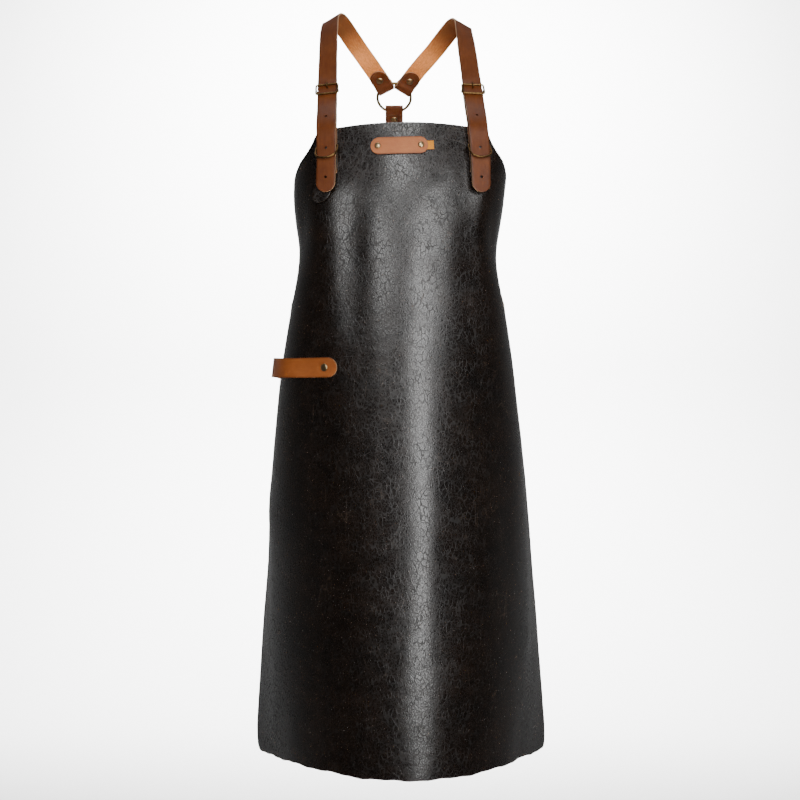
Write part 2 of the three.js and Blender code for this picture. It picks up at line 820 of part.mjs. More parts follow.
// One shoulder: strap, buckle, prong, buckle strap, dee ring, its tab and their rivets
function addShoulder(side, suffix) {
  const route = shoulderRoute(side);
  const buckleSpot = buckleLength(route);
  const foldRivet = foldRivetPlace(side.foldAngle);
  const foldGrip = 2 * strapThickness + clearance;

  // Punched holes, the highest of them on the buckle's prong
  const prongOffset = 3.2;
  const holeShares = [0, 0.33, 0.72];
  const lastHole = buckleSpot + prongOffset;
  const bores = holeShares.map((share) => {
    const length = firstHoleFromTip + share * (prongHoleFromTip - firstHoleFromTip);
    return bore(route.place(length), holeRadius, 4 * strapThickness);
  });
  bores.push(bore(route.place(lastHole), holeRadius, 4 * strapThickness));
  bores.push(rivetBore(foldRivet, foldGrip));
  const strap = strip(route, 0, route.length, strapWidth, strapThickness, roundEnds);
  const halfAway = 2 * strapWidth;
  const otherSide = new THREE.BoxGeometry(2 * halfAway, 2 * halfAway, 2 * halfAway);
  otherSide.translate(ringCentre.x - side.sign * (halfAway - clearance / 2), ringCentre.y, ringCentre.z);
  addPiece(`shoulder_strap_${suffix}`, cutAway(strap, [otherSide, ...bores]), strapLeather);
  addPiece(`fold_rivet_${suffix}`, rivet(foldRivet, foldGrip), brass);

  // Buckle frame in front of the strap, with its centre bar behind it on two short arms
  const bucklePlace = route.place(buckleSpot);
  bucklePlace.across.multiplyScalar(-side.sign);
  const halfWide = strapWidth / 2 + passRoom + hardwareWire / 2;
  const halfTall = (buckleHeight - hardwareWire) / 2;
  const frameOut = strapThickness / 2 + clearance + hardwareWire / 2;
  const layer = buckleStrapThickness + clearance;
  const barBack = strapThickness / 2 + 2 * clearance + layer + hardwareWire / 2;
  const cornerRadius = 2.6;
  const frameLoop = [];
  const corners = [
    { x: halfWide - cornerRadius, y: halfTall - cornerRadius, from: 0 },
    { x: cornerRadius - halfWide, y: halfTall - cornerRadius, from: 90 },
    { x: cornerRadius - halfWide, y: cornerRadius - halfTall, from: 180 },
    { x: halfWide - cornerRadius, y: cornerRadius - halfTall, from: 270 },
  ];
  for (const corner of corners) {
    const until = corner.from + 90;
    frameLoop.push(...arc(corner.x, corner.y, cornerRadius, cornerRadius, corner.from, until, 2));
  }
  const frameRing = wire(frameLoop.map((point) => point.setZ(frameOut)), hardwareWire, true);
  const barBend = 1.2;
  const barPath = [
    vector(-halfWide, 0, frameOut),
    vector(-halfWide, 0, barBend - barBack),
    vector(barBend - halfWide, 0, -barBack),
    vector(halfWide - barBend, 0, -barBack),
    vector(halfWide, 0, barBend - barBack),
    vector(halfWide, 0, frameOut),
  ];
  const buckle = joined([frameRing, wire(barPath, hardwareWire, false)]);
  addPiece(`buckle_${suffix}`, settle(buckle, bucklePlace), brass);

  // Prong: a hook round the centre bar, through the hole and over the upper bar
  const hookRadius = hardwareWire / 2 + clearance + prongWire / 2;
  const prongOut = frameOut + hardwareWire / 2 + clearance + prongWire / 2;
  const prongPath = arc(0, 0, hookRadius, hookRadius, 100, 360, 8)
    .map((point) => vector(0, point.x, point.y - barBack));
  prongPath.push(vector(0, hookRadius + 0.3, -strapThickness));
  prongPath.push(vector(0, prongOffset + 0.4, strapThickness / 2 + 0.6));
  prongPath.push(vector(0, halfTall - 2.2, prongOut - 0.3));
  prongPath.push(vector(0, halfTall, prongOut));
  prongPath.push(vector(0, halfTall + 2.2, prongOut - 0.2));
  addPiece(`buckle_prong_${suffix}`, settle(wire(prongPath, prongWire, false, 6), bucklePlace), brass);

  // Dee ring: its bar lies behind the strap and its arc comes down in front of it
  const deeSeat = seatPlace(side, deeBarDrop, deeBarLift);
  const deeHalf = strapWidth / 2 + passRoom + hardwareWire / 2;
  const deeCorner = 1.4;
  const deeLoop = [
    ...arc(0, -deeSide, deeHalf, deeArc, 180, 360, 10),
    ...arc(deeHalf - deeCorner, -deeCorner, deeCorner, deeCorner, 0, 90, 2),
    ...arc(deeCorner - deeHalf, -deeCorner, deeCorner, deeCorner, 90, 180, 2),
  ];
  const dee = wire(deeLoop, hardwareWire, true);
  dee.rotateX(-deeTilt * DEGREE);
  addPiece(`dee_ring_${suffix}`, settle(dee, deeSeat), bronze);

  // Tab folded round the dee ring's bar, its long leg in front and its short leg behind
  const tabKeys = [];
  const tabKey = (down, lift) => {
    tabKeys.push(seatKey(side, deeBarDrop + down, lift));
  };
  const tabClosedLift = tabBackLift + deeTabThickness + clearance;
  const tabPocket = 12;
  for (const down of [deeTabLength, deeTabLength - 6, deeTabLength * 0.6, deeTabBackLeg]) {
    tabKey(down, tabClosedLift);
  }
  // Close keys keep the front leg off the short leg behind it, where it comes in from the dee ring
  for (const down of [tabPocket + 9, tabPocket + 3, tabPocket]) {
    tabKey(down, tabClosedLift);
  }
  tabKey(5, tabFrontLift);
  for (const turn of [0, 45, 90, 135, 180]) {
    tabKey(-tabFoldRadius * Math.sin(turn * DEGREE), deeBarLift + tabFoldRadius * Math.cos(turn * DEGREE));
  }
  tabKey(6, tabBackLift);
  tabKey(deeTabBackLeg * 0.6, tabBackLift);
  tabKey(deeTabBackLeg, tabBackLift);
  const tabRoute = new StripRoute(tabKeys, -side.sign);
  const tabRivetDrop = deeBarDrop + deeTabBackLeg - 11;
  const tabRivetLift = tabClosedLift + deeTabThickness / 2;
  const tabRivetPlace = seatPlace(side, tabRivetDrop, tabRivetLift);
  const tabGrip = tabRivetLift + panelThickness;
  const tabStart = deeTabLength * (1 - side.tabShare);
  const lean = (length) => -side.slant * Math.max(1 - length / (deeTabLength * 0.7), 0) ** 1.5;
  const tabShape = { roundStart: true, lean, stride: 10 };
  const tab = strip(tabRoute, tabStart, tabRoute.length, deeTabWidth, deeTabThickness, tabShape);
  const tabBore = rivetBore(tabRivetPlace, tabGrip);
  addPiece(`dee_tab_${suffix}`, cutAway(tab, [tabBore]), panelLeather);
  addPiece(`dee_rivet_${suffix}`, rivet(tabRivetPlace, tabGrip, deeRivetRadius), brass);

  // Buckle strap behind the free end: from the bib, up and round the buckle's centre bar
  const backKeys = [];
  for (const share of [1, 0.75, 0.5, 0.25, 0.08]) {
    backKeys.push(seatKey(side, buckleStrapDrop * share, buckleStrapLift));
  }
  const backDeep = -(freeEndLift - buckleStrapLift);
  const barFoldRadius = hardwareWire / 2 + clearance + buckleStrapThickness / 2;
  const above = (up, deep) => {
    const place = route.place(buckleSpot);
    const at = place.at.clone().addScaledVector(place.along, up).addScaledVector(place.face, deep);
    backKeys.push({ at, across: place.across.clone() });
  };
  above(-26, backDeep);
  above(-9, -barBack - barFoldRadius);
  for (const turn of [0, 45, 90, 135, 180]) {
    above(barFoldRadius * Math.sin(turn * DEGREE), -barBack - barFoldRadius * Math.cos(turn * DEGREE));
  }
  above(-5, -barBack + barFoldRadius);
  above(-13, -barBack + barFoldRadius - 0.4);
  const backRoute = new StripRoute(backKeys, -side.sign);
  const slotHalf = prongWire / 2 + 0.5;
  const slot = new THREE.BoxGeometry(2 * slotHalf, 10, 4 * barFoldRadius + 6);
  slot.translate(0, 1, -barBack);
  settle(slot, bucklePlace);
  const behind = { stride: 14 };
  const buckleStrap = strip(backRoute, 0, backRoute.length, strapWidth - 1, buckleStrapThickness, behind);
  addPiece(`buckle_strap_${suffix}`, cutAway(buckleStrap, [slot, tabBore]), strapLeather);
  return { tabBore };
}

const deeRivetRadius = 3;
const leftShoulder = addShoulder(leftSide, 'left');
const rightShoulder = addShoulder(rightSide, 'right');

addPiece('back_ring', backRing(), bronze);

function backRing() {
  const geometry = new THREE.TorusGeometry(ringRadius, ringWire / 2, wireSides, 30);
  geometry.rotateX(Math.PI / 2 + ringTilt * DEGREE);
  geometry.translate(ringCentre.x, ringCentre.y, ringCentre.z);
  return geometry;
}

// Waist strap across the back, and the back strap that runs from the ring down round it
const waistLift = clearance + strapThickness / 2;

function waistRoute() {
  const keys = [];
  const up = vector(0, 0, 1);
  const seatShares = [0.8, 0.84, 0.88, 0.92, 0.96, 1.0, 1.02];
  const sideKey = (sign, share) => {
    const place = onPanel(sign * panelHalfWidth * share, waistStrapDrop, waistLift);
    keys.push({ at: place.at, across: place.down.clone().negate() });
  };
  for (const share of seatShares) {
    sideKey(-1, share);
  }
  const left = onPanel(-panelHalfWidth, waistStrapDrop, waistLift).at;
  const right = onPanel(panelHalfWidth, waistStrapDrop, waistLift).at;
  for (const share of [0.04, 0.1, 0.25, 0.5, 0.75, 0.9, 0.96]) {
    const at = left.clone().lerp(right, share);
    at.y += waistBulge + waistRound * Math.sin(share * Math.PI);
    keys.push({ at, across: up });
  }
  for (const share of [...seatShares].reverse()) {
    sideKey(1, share);
  }
  return new StripRoute(keys, -1);
}

const waist = waistRoute();
const waistGrip = panelThickness + waistLift + strapThickness / 2;
const waistRivets = [-1, 1].map((sign) => {
  return onPanel(sign * panelHalfWidth * 0.87, waistStrapDrop, waistLift + strapThickness / 2);
});
const waistBores = waistRivets.map((place) => rivetBore(place, waistGrip));
const waistBody = strip(waist, 0, waist.length, strapWidth, strapThickness, roundEnds);
addPiece('waist_strap', cutAway(waistBody, waistBores), strapLeather);
addPiece('waist_rivet_left', rivet(waistRivets[0], waistGrip), brass);
addPiece('waist_rivet_right', rivet(waistRivets[1], waistGrip), brass);

const waistSpot = waist.samples.find((sample) => sample.at.x > ringSway && sample.at.y > 0);

const loopRadius = strapThickness + 2 * clearance;
const tailDepth = loopRadius - strapThickness - clearance;

function backStrapRoute() {
  const across = vector(1, 0, 0);
  const top = foldKeys(180, across, foldLead).reverse();
  const keys = [...top];
  const waistAt = waistSpot.at;
  const spot = (up, deep) => {
    keys.push({ at: vector(ringSway, waistAt.y + deep, waistAt.z + up), across });
  };
  const start = top[top.length - 1].at;
  const fall = start.z - waistAt.z;
  for (const row of backRows) {
    const deep = start.y + backBulge * row.bulge;
    const depth = deep + (waistAt.y - deep) * row.settled;
    keys.push({ at: vector(ringSway, depth, start.z - fall * row.fall), across });
  }
  const halfWidth = strapWidth / 2 + clearance;
  spot(halfWidth + 6, loopRadius);
  spot(-halfWidth, loopRadius);
  for (const turn of [45, 90, 135]) {
    spot(-halfWidth - loopRadius * Math.sin(turn * DEGREE), loopRadius * Math.cos(turn * DEGREE));
  }
  spot(-halfWidth, -loopRadius);
  spot(halfWidth + 2, -loopRadius);
  spot(halfWidth + 8, tailDepth);
  spot(halfWidth + 20, tailDepth);
  return new StripRoute(keys, -1);
}

const backRoute = backStrapRoute();
const lowerFoldRivet = foldRivetPlace(180);
const foldGrip = 2 * strapThickness + clearance;
const backRivet = {
  at: vector(ringSway, waistSpot.at.y + tailDepth - strapThickness / 2, waistSpot.at.z + strapWidth / 2 + 15),
  face: vector(0, -1, 0),
};
const backGrip = foldGrip + 2 * clearance;
const backBores = [rivetBore(lowerFoldRivet, foldGrip), rivetBore(backRivet, backGrip)];
const backBody = strip(backRoute, 0, backRoute.length, strapWidth, strapThickness, roundEnds);
addPiece('back_strap', cutAway(backBody, backBores), strapLeather);
addPiece('fold_rivet_lower', rivet(lowerFoldRivet, foldGrip), brass);
addPiece('back_strap_rivet', rivet(backRivet, backGrip), brass);

// Name patch: a bare oval strip of leather, with a small woven label under its right end
function patchRoute(lift) {
  const keys = [-0.6, -0.35, -0.12, 0.12, 0.35, 0.6].map((share) => {
    const along = share * patchLength;
    const place = onPanel(patchShift + along, patchDrop - along * Math.tan(patchTilt * DEGREE), lift);
    return { at: place.at, across: place.down.clone().negate() };
  });
  return new StripRoute(keys, -1);
}

const patchLift = clearance + patchThickness / 2;
const patch = patchRoute(patchLift);
const patchStart = (patch.length - patchLength) / 2;
const patchGrip = patchThickness + clearance + panelThickness;
const patchRivets = [-1, 1].map((sign) => {
  const along = sign * patchRivetSpacing / 2;
  const down = patchDrop - along * Math.tan(patchTilt * DEGREE);
  return onPanel(patchShift + along, down, patchLift + patchThickness / 2);
});
const patchBores = patchRivets.map((place) => rivetBore(place, patchGrip));
const patchEnds = { ...roundEnds, stride: 7 };
const patchBody = strip(patch, patchStart, patchStart + patchLength, patchHeight, patchThickness, patchEnds);
const labelLift = clearance + labelThickness / 2;
const labelPath = patchRoute(labelLift);
const labelEnd = (labelPath.length + patchLength) / 2 + labelShow;
const labelStart = labelEnd - labelLength;
const label = strip(labelPath, labelStart, labelEnd, labelHeight, labelThickness, { stride: 7 });
const labelPocket = strip(labelPath, labelStart - clearance, labelEnd + clearance,
  labelHeight + 2 * clearance, labelThickness + 4 * clearance, { stride: 7 });
addPiece('name_patch', cutAway(patchBody, [labelPocket, ...patchBores]), patchLeather);
addPiece('patch_rivet_left', rivet(patchRivets[0], patchGrip, patchRivetRadius), brass);
addPiece('patch_rivet_right', rivet(patchRivets[1], patchGrip, patchRivetRadius), brass);
addPiece('label_tab', cutAway(label, patchBores), labelCloth);

// Towel loop: a band from its round front end, round the hip with space behind it, to its rear rivet
function towelRoute() {
  const lift = clearance + loopThickness / 2;
  const keys = [];
  const key = (seat, height) => {
    const place = onPanel(-seat, loopDrop, height);
    keys.push({ at: place.at, across: place.down.clone().negate() });
  };
  const span = loopRearSeat - loopTipSeat;
  key(loopTipSeat, lift);
  key(loopTipSeat + span * 0.1, lift);
  key(loopTipSeat + span * 0.17, lift + 0.4);
  key(loopTipSeat + span * 0.3, lift + loopStandOff * 0.36);
  key(loopTipSeat + span * 0.42, lift + loopStandOff * 0.84);
  key(loopTipSeat + span * 0.55, lift + loopStandOff * 1.02);
  key(loopTipSeat + span * 0.68, lift + loopStandOff);
  key(loopTipSeat + span * 0.8, lift + loopStandOff * 0.45);
  key(loopTipSeat + span * 0.88, lift + 0.3);
  key(loopRearSeat - 2, lift);
  key(loopRearSeat + loopTailLength * 0.5, lift);
  return new StripRoute(keys, 1);
}

const towel = towelRoute();
const towelGrip = loopThickness + clearance + panelThickness;
const towelFace = clearance + loopThickness;
const towelRivets = [
  onPanel(-(loopTipSeat + loopTailLength), loopDrop, towelFace),
  onPanel(-(loopRearSeat - 5), loopDrop, towelFace),
];
const towelBores = towelRivets.map((place) => rivetBore(place, towelGrip));
const towelBody = strip(towel, 0, towel.length, loopHeight, loopThickness, roundEnds);
addPiece('towel_loop', cutAway(towelBody, towelBores), strapLeather);
addPiece('towel_rivet_front', rivet(towelRivets[0], towelGrip), brass);
addPiece('towel_rivet_rear', rivet(towelRivets[1], towelGrip), brass);

const panelBores = [
  ...towelBores,
  ...patchBores,
  ...waistBores,
  leftShoulder.tabBore,
  rightShoulder.tabBore,
];
addPiece('apron_panel', cutAway(panelShell(), panelBores), panelLeather);

export default parts;
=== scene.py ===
"""Looks of a leather work apron with crossed shoulder straps, as it hangs on a wearer.

Sizes are in millimetres until a mesh is made. +Z is up, the apron faces -Y, and the viewer's left is -X.
"""

from __future__ import annotations

import logging
import math
from dataclasses import dataclass, field
from enum import Enum
from typing import Callable, Optional, Sequence

import bpy
import numpy as np
from mathutils import Matrix

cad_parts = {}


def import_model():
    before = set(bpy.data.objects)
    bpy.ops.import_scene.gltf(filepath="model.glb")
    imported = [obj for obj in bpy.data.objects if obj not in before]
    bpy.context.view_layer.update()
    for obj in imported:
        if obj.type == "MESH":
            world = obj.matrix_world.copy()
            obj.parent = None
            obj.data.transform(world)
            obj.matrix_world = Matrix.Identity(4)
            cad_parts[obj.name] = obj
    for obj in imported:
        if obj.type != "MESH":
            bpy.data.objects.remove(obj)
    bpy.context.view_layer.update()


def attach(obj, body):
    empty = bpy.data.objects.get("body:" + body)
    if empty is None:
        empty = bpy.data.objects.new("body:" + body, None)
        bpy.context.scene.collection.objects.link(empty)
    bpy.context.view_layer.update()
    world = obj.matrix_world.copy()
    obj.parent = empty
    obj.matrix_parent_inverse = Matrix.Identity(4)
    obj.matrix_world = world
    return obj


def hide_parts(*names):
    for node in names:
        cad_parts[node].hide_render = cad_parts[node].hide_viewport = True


LOG = logging.getLogger("apron")
MM = 0.001
DEGREE = math.pi / 180
CUT_ANGLE = 35
WIRE_ANGLE = 50
ROOT_BODY = "root"
Colour = tuple[float, float, float]


# Sizes and shapes


def point(x: float, y: float, z: float) -> np.ndarray:
    """Returns a place or a direction in millimetres."""
    return np.array((x, y, z), dtype=float)


def unit(values: np.ndarray) -> np.ndarray:
    """Returns the directions of one vector or of rows of vectors, at length 1."""
    return values / np.linalg.norm(values, axis=-1, keepdims=True)


class Table:
    """A short table with named columns, read smoothly between its rows."""

    def __init__(self, columns: str, *rows: Sequence[float]) -> None:
        """Keeps the rows.

        Args:
            columns: the columns' names, the first of which is the key.
            rows: one row of numbers for each key.
        """
        numbers = np.array(rows, dtype=float).T
        self.columns = dict(zip(columns.split(), numbers))
        self.key = numbers[0]

    def at(self, column: str, place: np.ndarray) -> np.ndarray:
        """Reads one column.

        Args:
            column: the column's name.
            place: keys to read it at.

        Returns:
            The smooth values there.
        """
        key = self.key
        values = self.columns[column]
        place = np.clip(np.asarray(place, dtype=float), key[0], key[-1])
        index = np.clip(np.searchsorted(key, place, side="left") - 1, 0, len(key) - 2)
        before = np.maximum(index - 1, 0)
        after = np.minimum(index + 2, len(key) - 1)
        step = key[index + 1] - key[index]
        start_slope = (values[index + 1] - values[before]) / (key[index + 1] - key[before])
        end_slope = (values[after] - values[index]) / (key[after] - key[index])
        share = (place - key[index]) / step
        square = share * share
        cube = square * share
        ends = values[index] * (2 * cube - 3 * square + 1) + values[index + 1] * (3 * square - 2 * cube)
        bends = start_slope * (cube - 2 * square + share) + end_slope * (cube - square)
        return ends + step * bends


def uneven(length: np.ndarray, waves: tuple[float, float], phases: tuple[float, float]) -> np.ndarray:
    """Gives the small wander of a line cut by hand.

    Args:
        length: how far along the line.
        waves: the lengths that the long wave and the short wave are drawn out by.
        phases: where each wave starts.

    Returns:
        How far it wanders, as a share of the long wave.
    """
    return np.sin(length / waves[0] + phases[0]) + 0.6 * np.sin(length / waves[1] + phases[1])


@dataclass(frozen=True)
class Place:
    """A place on a surface with its directions, and ways to use it as local axes."""

    at: np.ndarray
    across: np.ndarray
    along: np.ndarray
    face: np.ndarray

    def matrix(self, flip: bool = False) -> Matrix:
        """Gives the matrix from local X across, Y up and Z out of the face, in metres.

        Args:
            flip: whether X runs the other way.

        Returns:
            A matrix that takes a local shape in metres to this place.
        """
        across = -self.across if flip else self.across
        up = np.cross(self.face, across)
        columns = (unit(across), unit(up), unit(self.face), self.at * MM)
        rows = [[float(column[axis]) for column in columns] for axis in range(3)]
        return Matrix(rows + [[0, 0, 0, 1]])


@dataclass(frozen=True)
class Key:
    """A place that a strip passes through, with the direction across the strip there."""

    at: np.ndarray
    across: np.ndarray


@dataclass(frozen=True)
class Side:
    """What differs between the two shoulders."""

    name: str
    sign: int
    seat: float
    drift: float
    fold_angle: float
    slant: float
    tab_share: float


@dataclass(frozen=True)
class Sizes:
    """The apron's main sizes, in millimetres and degrees."""

    clearance: float = 0.3
    seat_room: float = 0.5
    pass_room: float = 0.7
    panel_height: float = 845
    panel_half_width: float = 308
    panel_thickness: float = 2
    bib_half_width: float = 106
    bib_arch: float = 7
    armhole_depth: float = 212
    hem_corner_width: float = 20
    hem_corner_height: float = 42
    hem_wave: float = 5
    front_reach: float = 120
    bib_lean: float = 22
    bib_tilt: float = 0.6
    panel_sway: float = 5
    dent_depth: float = 5
    body_depth: float = 230
    strap_rise: float = 164
    strap_width: float = 25.4
    strap_thickness: float = 2.4
    strap_spacing: float = 96
    strap_tip_drop: float = 92
    hole_radius: float = 1.9
    first_hole: float = 19.5
    last_hole: float = 138
    prong_hole_lead: float = 3.2
    prong_slack: float = 0.4
    ring_radius: float = 24
    ring_wire: float = 3.4
    ring_sway: float = -8.4
    ring_drop: float = 87
    ring_tilt: float = 45
    fold_tab_length: float = 33
    fold_offset: float = 2.5
    hardware_wire: float = 2.2
    wire_swell: float = 0.45
    prong_wire: float = 1.8
    buckle_drop: float = 114.5
    buckle_height: float = 17.4
    buckle_strap_thickness: float = 1.8
    buckle_strap_drop: float = 66
    dee_tab_thickness: float = 1.2
    dee_tab_width: float = 25
    dee_tab_length: float = 73
    dee_tab_back_leg: float = 30
    dee_bar_drop: float = 31
    dee_side: float = 10.5
    dee_arc: float = 11
    dee_tilt: float = 30
    dee_rivet_radius: float = 3
    waist_strap_drop: float = 226
    waist_bulge: float = 18
    waist_round: float = 12
    back_bulge: float = 12
    rivet_radius: float = 4.9
    rivet_height: float = 1.8
    rivet_shank: float = 1.5
    rivet_cap: float = 1
    rivet_slack: float = 0.5
    patch_length: float = 74
    patch_height: float = 22.6
    patch_thickness: float = 2.2
    patch_drop: float = 31.5
    patch_shift: float = -3
    patch_tilt: float = 0.8
    patch_rivet_spacing: float = 55.6
    patch_rivet_radius: float = 4
    label_length: float = 24
    label_show: float = 8.4
    label_height: float = 11.4
    label_thickness: float = 0.8
    loop_height: float = 25.6
    loop_thickness: float = 2.2
    loop_drop: float = 317
    loop_tip_seat: float = 79
    loop_rear_seat: float = 262
    loop_stand_off: float = 9.5
    loop_tail: float = 17


SIZES = Sizes()
LEFT = Side("left", -1, 97.5, 5, 30.5, 11, 1.0)
RIGHT = Side("right", 1, 96.5, 9.5, -34.5, 0, 0.7)


@dataclass
class PanelShape:
    """The hanging panel's surface, reached by distances on the flat leather."""

    sizes: Sizes = SIZES
    sections: Table = field(default_factory=lambda: Table(
        "level front_end turn_end front turn edge",
        (0.00, 0.35, 0.54, 16, 82, 88),
        (0.06, 0.35, 0.54, 17, 82, 88),
        (0.11, 0.35, 0.53, 19, 84, 88),
        (0.20, 0.35, 0.50, 25.5, 84, 92),
        (0.30, 0.39, 0.57, 29, 84, 92),
        (0.42, 0.46, 0.65, 38, 83, 90),
        (0.60, 0.55, 0.74, 49.5, 81, 85),
        (0.70, 0.58, 0.76, 54.5, 78, 82),
        (0.80, 0.60, 0.77, 57, 74, 78),
        (1.00, 0.60, 0.78, 61.5, 64, 65),
    ))
    hang: Table = field(default_factory=lambda: Table(
        "level lean sway tilt",
        (0.00, 1.00, 0.6, 1),
        (0.06, 0.62, 0.3, 1),
        (0.11, 0.36, -0.3, 0.7),
        (0.20, 0.10, -0.6, 0.3),
        (0.30, 0.00, -0.6, 0),
        (0.42, 0.00, -0.7, 0),
        (0.60, 0.00, -0.3, 0),
        (0.70, 0.00, 0.0, 0),
        (0.80, 0.00, 0.0, 0),
        (1.00, 0.00, 0.3, 0),
    ))
    armhole: Table = field(default_factory=lambda: Table(
        "down out",
        (0.000, -0.035),
        (0.008, 0.005),
        (0.025, 0.030),
        (0.055, 0.048),
        (0.100, 0.066),
        (0.165, 0.110),
        (0.217, 0.168),
        (0.270, 0.228),
        (0.330, 0.297),
        (0.470, 0.450),
        (0.660, 0.662),
        (0.850, 0.874),
        (0.950, 0.972),
        (1.000, 1.000),
    ))
    waves: Table = field(default_factory=lambda: Table(
        "across rise",
        (-1.00, -1.50),
        (-0.85, -1.10),
        (-0.68, -0.10),
        (-0.50, 0.80),
        (-0.32, 0.80),
        (-0.10, 0.10),
        (0.18, 0.00),
        (0.45, 0.40),
        (0.70, 0.10),
        (0.85, -0.80),
        (1.00, -1.30),
    ))
    dents: tuple[tuple[float, ...], ...] = (
        # across, level, wide, tall, deep: shares of the half width, the height and the dent depth
        (-0.30, 0.20, 0.07, 0.16, 0.45),
        (-0.18, 0.22, 0.07, 0.18, -0.40),
        (0.31, 0.19, 0.07, 0.12, -0.35),
        (-0.44, 0.15, 0.06, 0.05, -0.70),
        (0.44, 0.16, 0.06, 0.05, -0.70),
        (0.10, 0.55, 0.10, 0.30, 0.30),
        (-0.34, 0.66, 0.12, 0.22, -0.30),
        (0.40, 0.72, 0.10, 0.20, 0.30),
        (-0.80, 0.60, 0.10, 0.06, 0.60),
    )

    def walk(self, level: np.ndarray, distance: np.ndarray) -> tuple[np.ndarray, np.ndarray, np.ndarray]:
        """Follows a horizontal section made of three arcs: the front, the turn and the side.

        Args:
            level: the sections' shares of the panel's height.
            distance: how far to go on the leather from the middle line.

        Returns:
            How far across and back that is, and the heading there.
        """
        half = self.sizes.panel_half_width
        front = self.sections.at("front_end", level) * half
        turn = self.sections.at("turn_end", level) * half
        lengths = (front, turn - front, half - turn)
        ends = [self.sections.at(name, level) * DEGREE for name in ("front", "turn", "edge")]
        heading = np.zeros_like(distance)
        across = np.zeros_like(distance)
        back = np.zeros_like(distance)
        left = distance.copy()
        start = np.zeros_like(distance)
        for index, (length, until) in enumerate(zip(lengths, ends)):
            run = left if index == 2 else np.minimum(left, length)
            bend = (until - start) * run / length
            chord = run * np.sinc(bend / 2 / math.pi)
            across = across + chord * np.cos(heading + bend / 2)
            back = back + chord * np.sin(heading + bend / 2)
            heading = heading + bend
            left = left - run
            start = until
        return across, back, heading

    def surface(self, along: np.ndarray, down: np.ndarray) -> np.ndarray:
        """Gives places on the grain side.

        Args:
            along: distances from the middle line on the flat leather.
            down: distances below the top edge.

        Returns:
            One row for each place.
        """
        sizes = self.sizes
        level = down / sizes.panel_height
        side = np.where(along < 0, -1.0, 1.0)
        across, back, heading = self.walk(level, np.abs(along))
        dent = np.zeros_like(along)
        for centre, height, wide, tall, deep in self.dents:
            sideways = (along / sizes.panel_half_width - centre) / wide
            upright = (level - height) / tall
            dent = dent + sizes.dent_depth * deep * np.exp(-sideways ** 2 - upright ** 2)
        tilt = self.hang.at("tilt", level) * sizes.bib_tilt * DEGREE
        sway = self.hang.at("sway", level) * sizes.panel_sway
        lean = self.hang.at("lean", level) * sizes.bib_lean
        wide = side * (across + dent * np.sin(heading))
        deep = back + lean - dent * np.cos(heading)
        tall = wide * np.tan(tilt) - sizes.strap_rise - down
        return np.stack((wide + sway, deep - sizes.front_reach, tall), axis=-1)

    def places(self, along: np.ndarray, down: np.ndarray) -> tuple[np.ndarray, ...]:
        """Gives places on the grain side with their directions.

        Args:
            along: distances from the middle line on the flat leather.
            down: distances below the top edge.

        Returns:
            The places, the directions across and down, and the directions out of the leather.
        """
        step = 0.5
        across = unit(self.surface(along + step, down) - self.surface(along - step, down))
        lower = unit(self.surface(along, down + step) - self.surface(along, down - step))
        face = unit(-np.cross(across, lower))
        return self.surface(along, down), across, lower, face

    def place(self, along: float, down: float, lift: float = 0) -> Place:
        """Gives one place on or above the grain side.

        Args:
            along: the distance from the middle line.
            down: the distance below the top edge.
            lift: how far out of the leather.

        Returns:
            The place, whose along direction points down the panel.
        """
        at, across, lower, face = self.places(np.array([float(along)]), np.array([float(down)]))
        return Place(at[0] + face[0] * lift, across[0], lower[0], face[0])

    def edge(self, down: np.ndarray) -> np.ndarray:
        """Gives the flat panel's half width, with its armholes and hem corners.

        Args:
            down: distances below the top edge.

        Returns:
            The half widths there.
        """
        sizes = self.sizes
        squareness = 2.6
        into = np.clip((down - sizes.panel_height + sizes.hem_corner_height) / sizes.hem_corner_height, 0, 1)
        corner = sizes.hem_corner_width * (1 - (1 - into ** squareness) ** (1 / squareness))
        out = self.armhole.at("out", down / sizes.armhole_depth)
        return sizes.bib_half_width + out * (sizes.panel_half_width - sizes.bib_half_width) - corner

    def wavy(self, along: np.ndarray, row: np.ndarray) -> np.ndarray:
        """Bends straight rows to the bib's arch and the hem's waves.

        Args:
            along: distances from the middle line.
            row: the rows' own distances below the top edge.

        Returns:
            The places' distances below the top edge.
        """
        sizes = self.sizes
        arch = np.minimum(np.abs(along) / sizes.bib_half_width, 1) ** 2
        arch_fade = np.maximum(1 - row / (8 * sizes.bib_arch), 0) ** 2
        wave = self.waves.at("rise", along / sizes.panel_half_width) * sizes.hem_wave
        wave_fade = np.maximum(1 - (sizes.panel_height - row) / (16 * sizes.hem_wave), 0) ** 2
        return row + sizes.bib_arch * arch * arch_fade - wave * wave_fade


